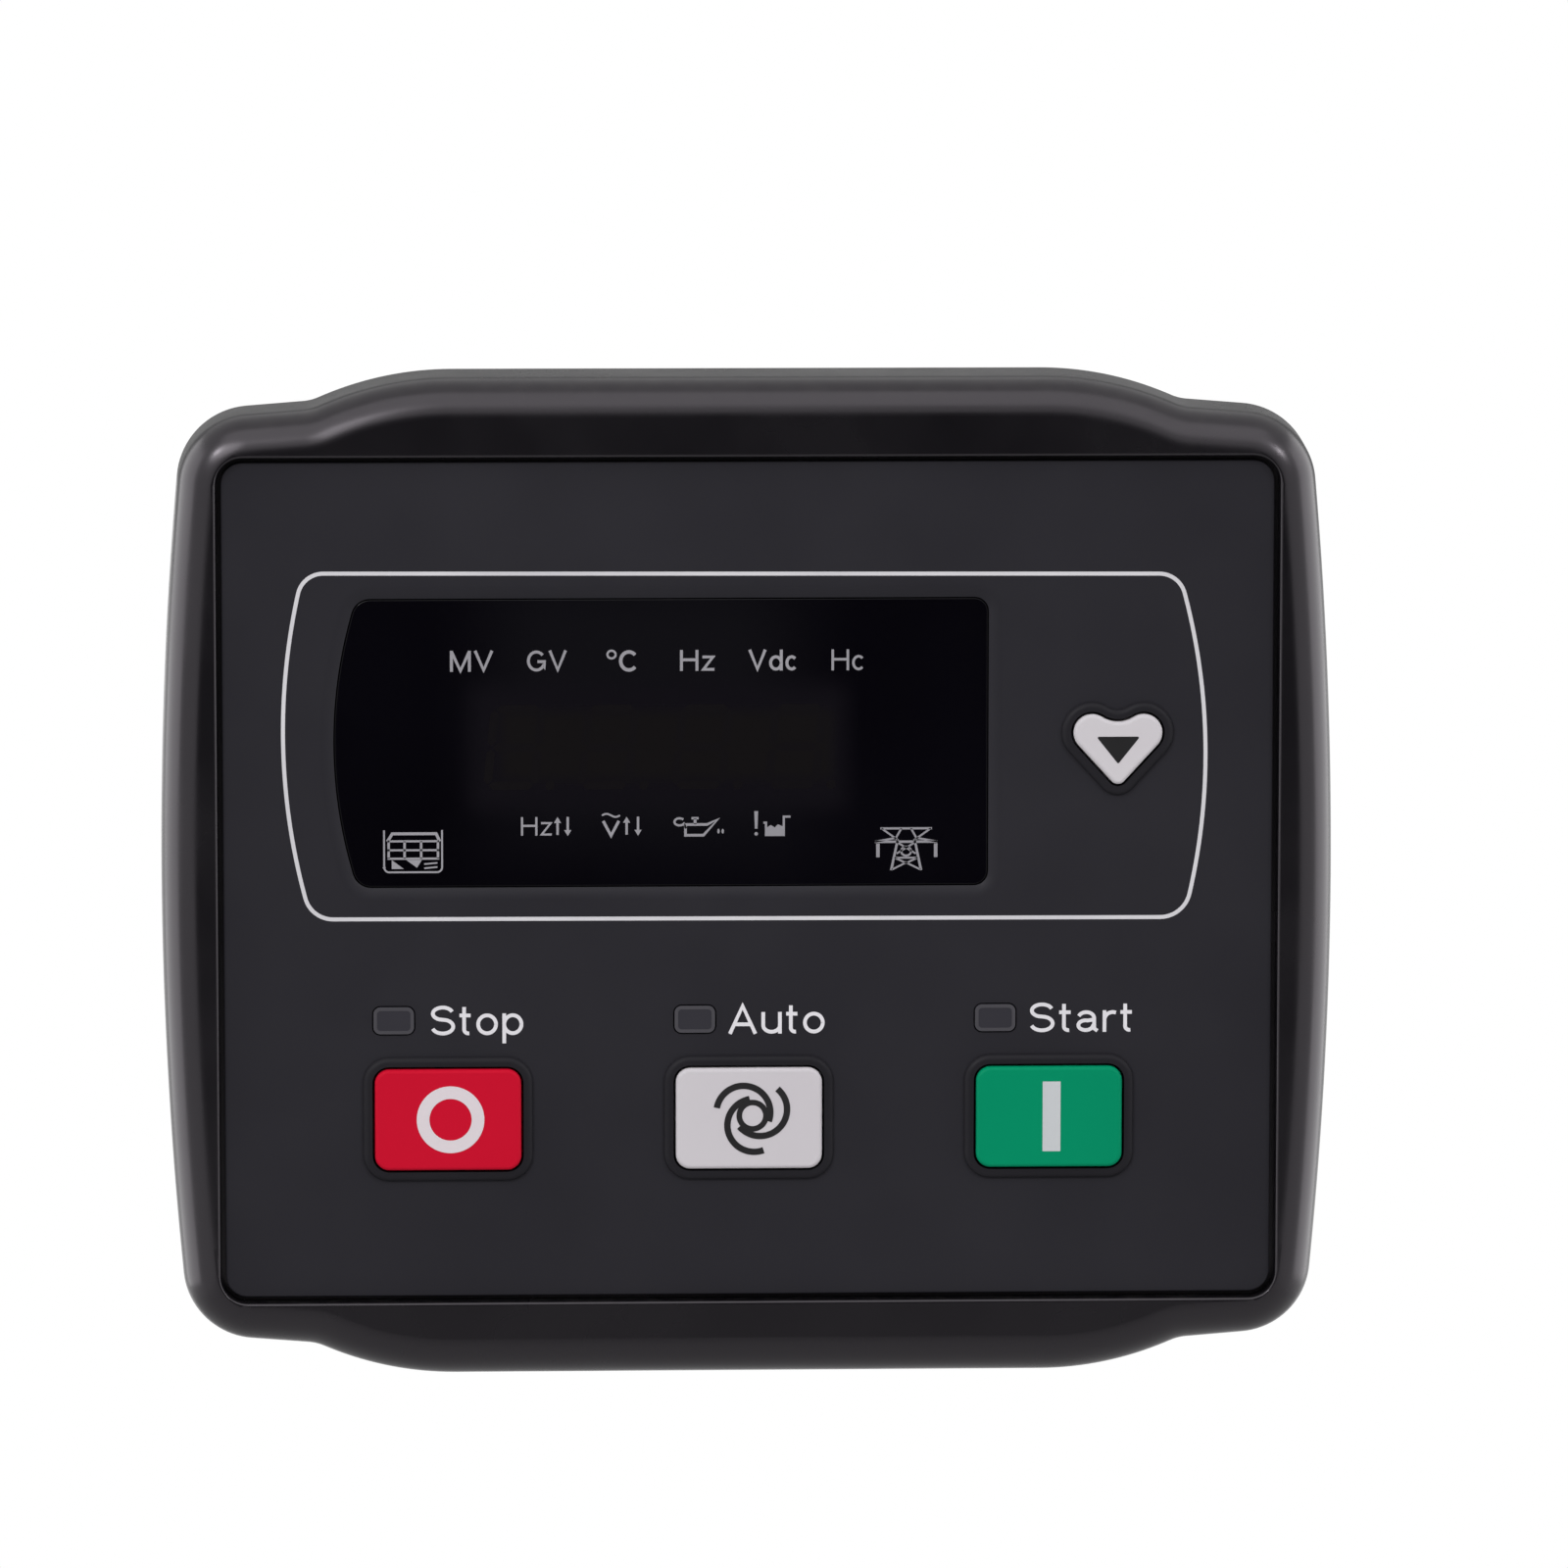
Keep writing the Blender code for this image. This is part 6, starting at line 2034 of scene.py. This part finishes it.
@dataclass
class RearParts:
    """The rear housing, gasket, clips, headers, service socket and their screws."""

    shop: Workshop
    pitch: float = 5.08
    pin_drop: float = 2.0
    pin_half: float = 0.54
    pin_end_half: float = 0.3
    pin_end: float = 0.4
    pin_sink: float = 0.1
    trough_floor: float = 21.7
    pin_tip: float = 28.7
    socket_x: float = 21.0
    spring_count: int = 6
    spring_pitch: float = 1.27
    spring_half: float = 0.22
    spring_thick: float = 0.28
    spring_path: tuple[Point, ...] = ((29.2, -3.62), (28.6, -3.35), (22.4, -1.2), (21.6, -1.2))
    rows: dict[str, tuple[int, float]] = field(default_factory=lambda: {
        "header_upper": (10, 18.0), "header_lower": (8, -18.0)})

    def build(self) -> None:
        """Soften the mouldings, then add pins, spring contacts and screws."""
        self.shop.refine("rear_housing", HOUSING, 0.22)
        self.shop.refine("gasket", RUBBER, 0.35)
        self.shop.refine("service_socket", COMPONENT, 0.14)
        for side in ("left", "right"):
            self.shop.refine("clip_" + side, HOUSING, 0.22)
            Screw(self.shop, "clamp_screw_" + side, 2.0, 2.6, 0.7, Drive.SLOT).build()
        for number in range(1, 5):
            Screw(self.shop, f"housing_screw_{number}", 1.45, 2.0, 1.1, Drive.CROSS).build()
        for name, (ways, row) in self.rows.items():
            self.shop.refine(name, HEADER, 0.12)
            self._pins(name, ways, row)
        self._springs()

    def _pins(self, name: str, ways: int, row: float) -> None:
        """Tinned skins of a header's pins.

        Args:
            name: The header.
            ways: Number of pins.
            row: Height of the header's middle.
        """
        solid = Solid(name + "_pins")
        z = row - self.pin_drop
        sections = ((self.pin_end_half, self.pin_tip + self.pin_end),
                    (self.pin_half, self.pin_tip + CLEARANCE),
                    (self.pin_half, self.trough_floor - self.pin_sink))
        for i in range(ways):
            x = (i - (ways - 1) / 2) * self.pitch
            solid.loft([([(x - half, z - half), (x + half, z - half), (x + half, z + half),
                          (x - half, z + half)], level) for half, level in sections])
        self.shop.install(solid.object(), CONTACT)

    def _springs(self) -> None:
        """Spring contacts in the service socket."""
        solid = Solid("service_socket_springs")
        half, thick = self.spring_half, self.spring_thick
        for i in range(self.spring_count):
            x = self.socket_x + (i - (self.spring_count - 1) / 2) * self.spring_pitch
            solid.loft([([(x - half, low), (x + half, low), (x + half, low + thick),
                          (x - half, low + thick)], level) for level, low in self.spring_path])
        self.shop.install(solid.object(), CONTACT)


@dataclass
class Wardrobe:
    """Finishes of the carried-over nodes."""

    shop: Workshop
    rules: tuple[tuple[tuple[str, ...], Finish], ...] = (
        (("plunger", "switch"), SWITCH), (("led",), LED), (("digit_display",), DIGIT),
        (("light_baffle", "rear_housing", "clip"), HOUSING),
        (("display_board_screw", "power_board_screw", "housing_screw", "clamp_screw"), STEEL),
        (("display_board", "power_board"), BOARD), (("relay",), RELAY),
        (("header", "service_socket"), HEADER), (("gasket",), RUBBER),
        (("front_bezel",), BEZEL), (("facia",), FACIA), (("display_lens",), LENS),
        (("key_stop",), RED), (("key_start",), GREEN), (("key_",), WHITE),
        (("light_pipe",), LAMP))

    def dress(self) -> None:
        """Give every node that stays as it is its finish."""
        for name in list(self.shop.frame["nodes"]):
            finish = next((f for starts, f in self.rules if name.startswith(starts)), COMPONENT)
            self.shop.dress(finish, name)


@dataclass(frozen=True)
class SoftBox:
    """A soft box: its place and size in metres and its power in watts."""

    name: str
    place: Place
    size: Point
    power: float


@dataclass(frozen=True)
class Card:
    """An upright card that only reflections see: its edges in metres and its grey."""

    name: str
    y: float
    left: float
    right: float
    low: float
    high: float
    shade: float


@dataclass
class Studio:
    """Floor, white surroundings, lamps, camera and the cards that only reflections see."""

    floor_level: float = -0.32
    floor_half: float = 0.45
    floor_front: float = -1.1
    floor_shade: float = 0.55
    floor_rough: float = 0.7
    fade_start: float = 0.12
    diffuse: float = 0.45
    lens: float = 211.3
    sensor: float = 36.0
    clip: Point = (0.01, 50.0)
    azimuth: float = -2.185
    elevation: float = 7.323
    roll: float = 0.029
    distance: float = 0.7701
    target: Place = (0.003107, -0.004, 0.007487)
    card_rough: float = 0.9
    cards: tuple[Card, ...] = (
        Card("camera_card", -0.95, -0.39, 0.47, -0.235, 0.30, 0.03),
        Card("rear_card", 0.6, -0.55, 0.55, -0.02, 0.45, 0.3))
    lamps: tuple[SoftBox, ...] = (
        SoftBox("top_box", (0.0, -0.42, 0.66), (1.0, 0.6), 2.0),
        SoftBox("left_box", (-0.75, 0.16, 0.08), (0.9, 0.9), 4.6),
        SoftBox("right_box", (0.75, 0.16, 0.08), (0.9, 0.9), 4.9),
        SoftBox("front_box", (-0.45, -0.90, 0.60), (0.5, 0.4), 2.8),
        SoftBox("left_spot", (-0.60, -0.66, 0.56), (0.07, 0.07), 1.6),
        SoftBox("right_spot", (0.66, -0.66, 0.50), (0.07, 0.07), 1.6))

    def build(self) -> None:
        """Make the whole set."""
        self._world()
        self._floor()
        for card in self.cards:
            self._card(card)
        for lamp in self.lamps:
            self._lamp(lamp)
        self._camera()

    @staticmethod
    def _sheet(name: str, corners: Sequence[Place]) -> bpy.types.Object:
        """Make a sheet with four corners and put it in the scene.

        Args:
            name: Its name.
            corners: Its corners in order.

        Returns:
            The sheet.
        """
        mesh = bpy.data.meshes.new(name)
        mesh.from_pydata(corners, [], [(0, 1, 2, 3)])
        obj = bpy.data.objects.new(name, mesh)
        bpy.context.scene.collection.objects.link(obj)
        return obj

    def _card(self, card: Card) -> None:
        """Hang a card that only reflections see.

        Args:
            card: The card.
        """
        obj = self._sheet(card.name, [(card.left, card.y, card.low), (card.right, card.y, card.low),
                                      (card.right, card.y, card.high),
                                      (card.left, card.y, card.high)])
        obj.visible_camera = False
        obj.visible_diffuse = False
        obj.visible_shadow = False
        material = bpy.data.materials.new(card.name)
        material.use_nodes = True
        shader = material.node_tree.nodes["Principled BSDF"]
        shader.inputs["Base Color"].default_value = (card.shade, card.shade, card.shade, 1.0)
        shader.inputs["Roughness"].default_value = self.card_rough
        obj.data.materials.append(material)

    def _world(self) -> None:
        """White to the camera and in reflections, softer as a light."""
        world = bpy.data.worlds.new("white_room")
        bpy.context.scene.world = world
        world.use_nodes = True
        tree = world.node_tree
        tree.nodes.clear()
        rays = tree.nodes.new("ShaderNodeLightPath").outputs
        seen = rays["Is Camera Ray"]
        for kind in ("Is Glossy Ray", "Is Transmission Ray"):
            seen = math_node(tree, "MAXIMUM", seen, rays[kind]).outputs[0]
        mix = tree.nodes.new("ShaderNodeMixShader")
        tree.links.new(seen, mix.inputs[0])
        for number, strength in enumerate((self.diffuse, 1.0), 1):
            glow = tree.nodes.new("ShaderNodeBackground")
            glow.inputs["Color"].default_value = PURE_WHITE
            glow.inputs["Strength"].default_value = strength
            tree.links.new(glow.outputs[0], mix.inputs[number])
        output = tree.nodes.new("ShaderNodeOutputWorld")
        tree.links.new(mix.outputs[0], output.inputs["Surface"])

    def _floor(self) -> None:
        """Pale floor below the panel."""
        half, near, level = self.floor_half, self.floor_front, self.floor_level
        obj = self._sheet("studio_floor", [(-half, near, level), (half, near, level),
                                           (half, half, level), (-half, half, level)])
        obj.data.materials.append(self._floor_material())

    def _floor_material(self) -> bpy.types.Material:
        """Grey under the panel, fading to the white of the surroundings, and clear from below.

        Returns:
            The material.
        """
        material = bpy.data.materials.new("pale_floor")
        material.use_nodes = True
        tree = material.node_tree
        shader = tree.nodes["Principled BSDF"]
        shade = self.floor_shade
        shader.inputs["Base Color"].default_value = (shade, shade, shade, 1.0)
        shader.inputs["Roughness"].default_value = self.floor_rough
        coords = tree.nodes.new("ShaderNodeTexCoord")
        reach = tree.nodes.new("ShaderNodeVectorMath")
        reach.operation = "DISTANCE"
        reach.inputs[1].default_value = (0.0, 0.0, self.floor_level)
        tree.links.new(coords.outputs["Object"], reach.inputs[0])
        fade = tree.nodes.new("ShaderNodeMapRange")
        fade.interpolation_type = "SMOOTHSTEP"
        fade.inputs["From Min"].default_value = self.fade_start
        fade.inputs["From Max"].default_value = self.floor_half
        tree.links.new(reach.outputs["Value"], fade.inputs["Value"])
        rays = tree.nodes.new("ShaderNodeLightPath").outputs
        white = tree.nodes.new("ShaderNodeEmission")
        white.inputs["Color"].default_value = PURE_WHITE
        white.inputs["Strength"].default_value = 1.0
        clear = tree.nodes.new("ShaderNodeBsdfTransparent")
        sides = tree.nodes.new("ShaderNodeNewGeometry")
        surface = shader.outputs["BSDF"]
        for mask, cover in ((fade.outputs["Result"], white.outputs["Emission"]),
                            (sides.outputs["Backfacing"], clear.outputs["BSDF"])):
            seen = math_node(tree, "MULTIPLY", mask, rays["Is Camera Ray"])
            mix = tree.nodes.new("ShaderNodeMixShader")
            tree.links.new(seen.outputs[0], mix.inputs[0])
            tree.links.new(surface, mix.inputs[1])
            tree.links.new(cover, mix.inputs[2])
            surface = mix.outputs[0]
        tree.links.new(surface, tree.nodes["Material Output"].inputs["Surface"])
        return material

    @staticmethod
    def _lamp(lamp: SoftBox) -> None:
        """Hang a soft box that faces the panel.

        Args:
            lamp: The soft box.
        """
        light = bpy.data.lights.new(lamp.name, "AREA")
        light.shape = "RECTANGLE"
        light.size, light.size_y = lamp.size
        light.energy = lamp.power
        obj = bpy.data.objects.new(lamp.name, light)
        obj.location = lamp.place
        obj.rotation_euler = (-Vector(lamp.place)).to_track_quat("-Z", "Y").to_euler()
        bpy.context.scene.collection.objects.link(obj)

    def _camera(self) -> None:
        """Stand the camera where the photo was taken from."""
        az, el, roll = (math.radians(a) for a in (self.azimuth, self.elevation, self.roll))
        look = Vector((-math.sin(az) * math.cos(el), math.cos(az) * math.cos(el), -math.sin(el)))
        right = look.cross(Vector((0.0, 0.0, 1.0))).normalized()
        up = right.cross(look)
        across = right * math.cos(roll) + up * math.sin(roll)
        upright = up * math.cos(roll) - right * math.sin(roll)
        place = Vector(self.target) - look * self.distance
        data = bpy.data.cameras.new("photo_camera")
        data.sensor_width = self.sensor
        data.lens = self.lens
        data.clip_start, data.clip_end = self.clip
        obj = bpy.data.objects.new("photo_camera", data)
        obj.matrix_world = Matrix(((across.x, upright.x, -look.x, place.x),
                                   (across.y, upright.y, -look.y, place.y),
                                   (across.z, upright.z, -look.z, place.z),
                                   (0.0, 0.0, 0.0, 1.0)))
        bpy.context.scene.collection.objects.link(obj)
        bpy.context.scene.camera = obj
        bpy.context.scene.view_settings.view_transform = "Standard"


def main() -> None:
    """Load the frame, build and dress every sub-assembly, light it and place the camera."""
    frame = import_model()
    LOG.info("frame loaded, %d nodes", len(frame["nodes"]))
    groups = ShaderGroups()
    shop = Workshop(frame, groups)
    layout = Layout()
    Wardrobe(shop).dress()
    FrontBezel(shop, layout).build()
    Facia(shop, layout).build()
    DisplayWindow(shop, layout).build()
    Keys(shop, layout).build()
    Lamps(shop, layout).build()
    RearParts(shop).build()
    Studio().build()


if __name__ == "__main__":
    logging.basicConfig(level=logging.INFO, format="%(name)s: %(message)s")
    main()
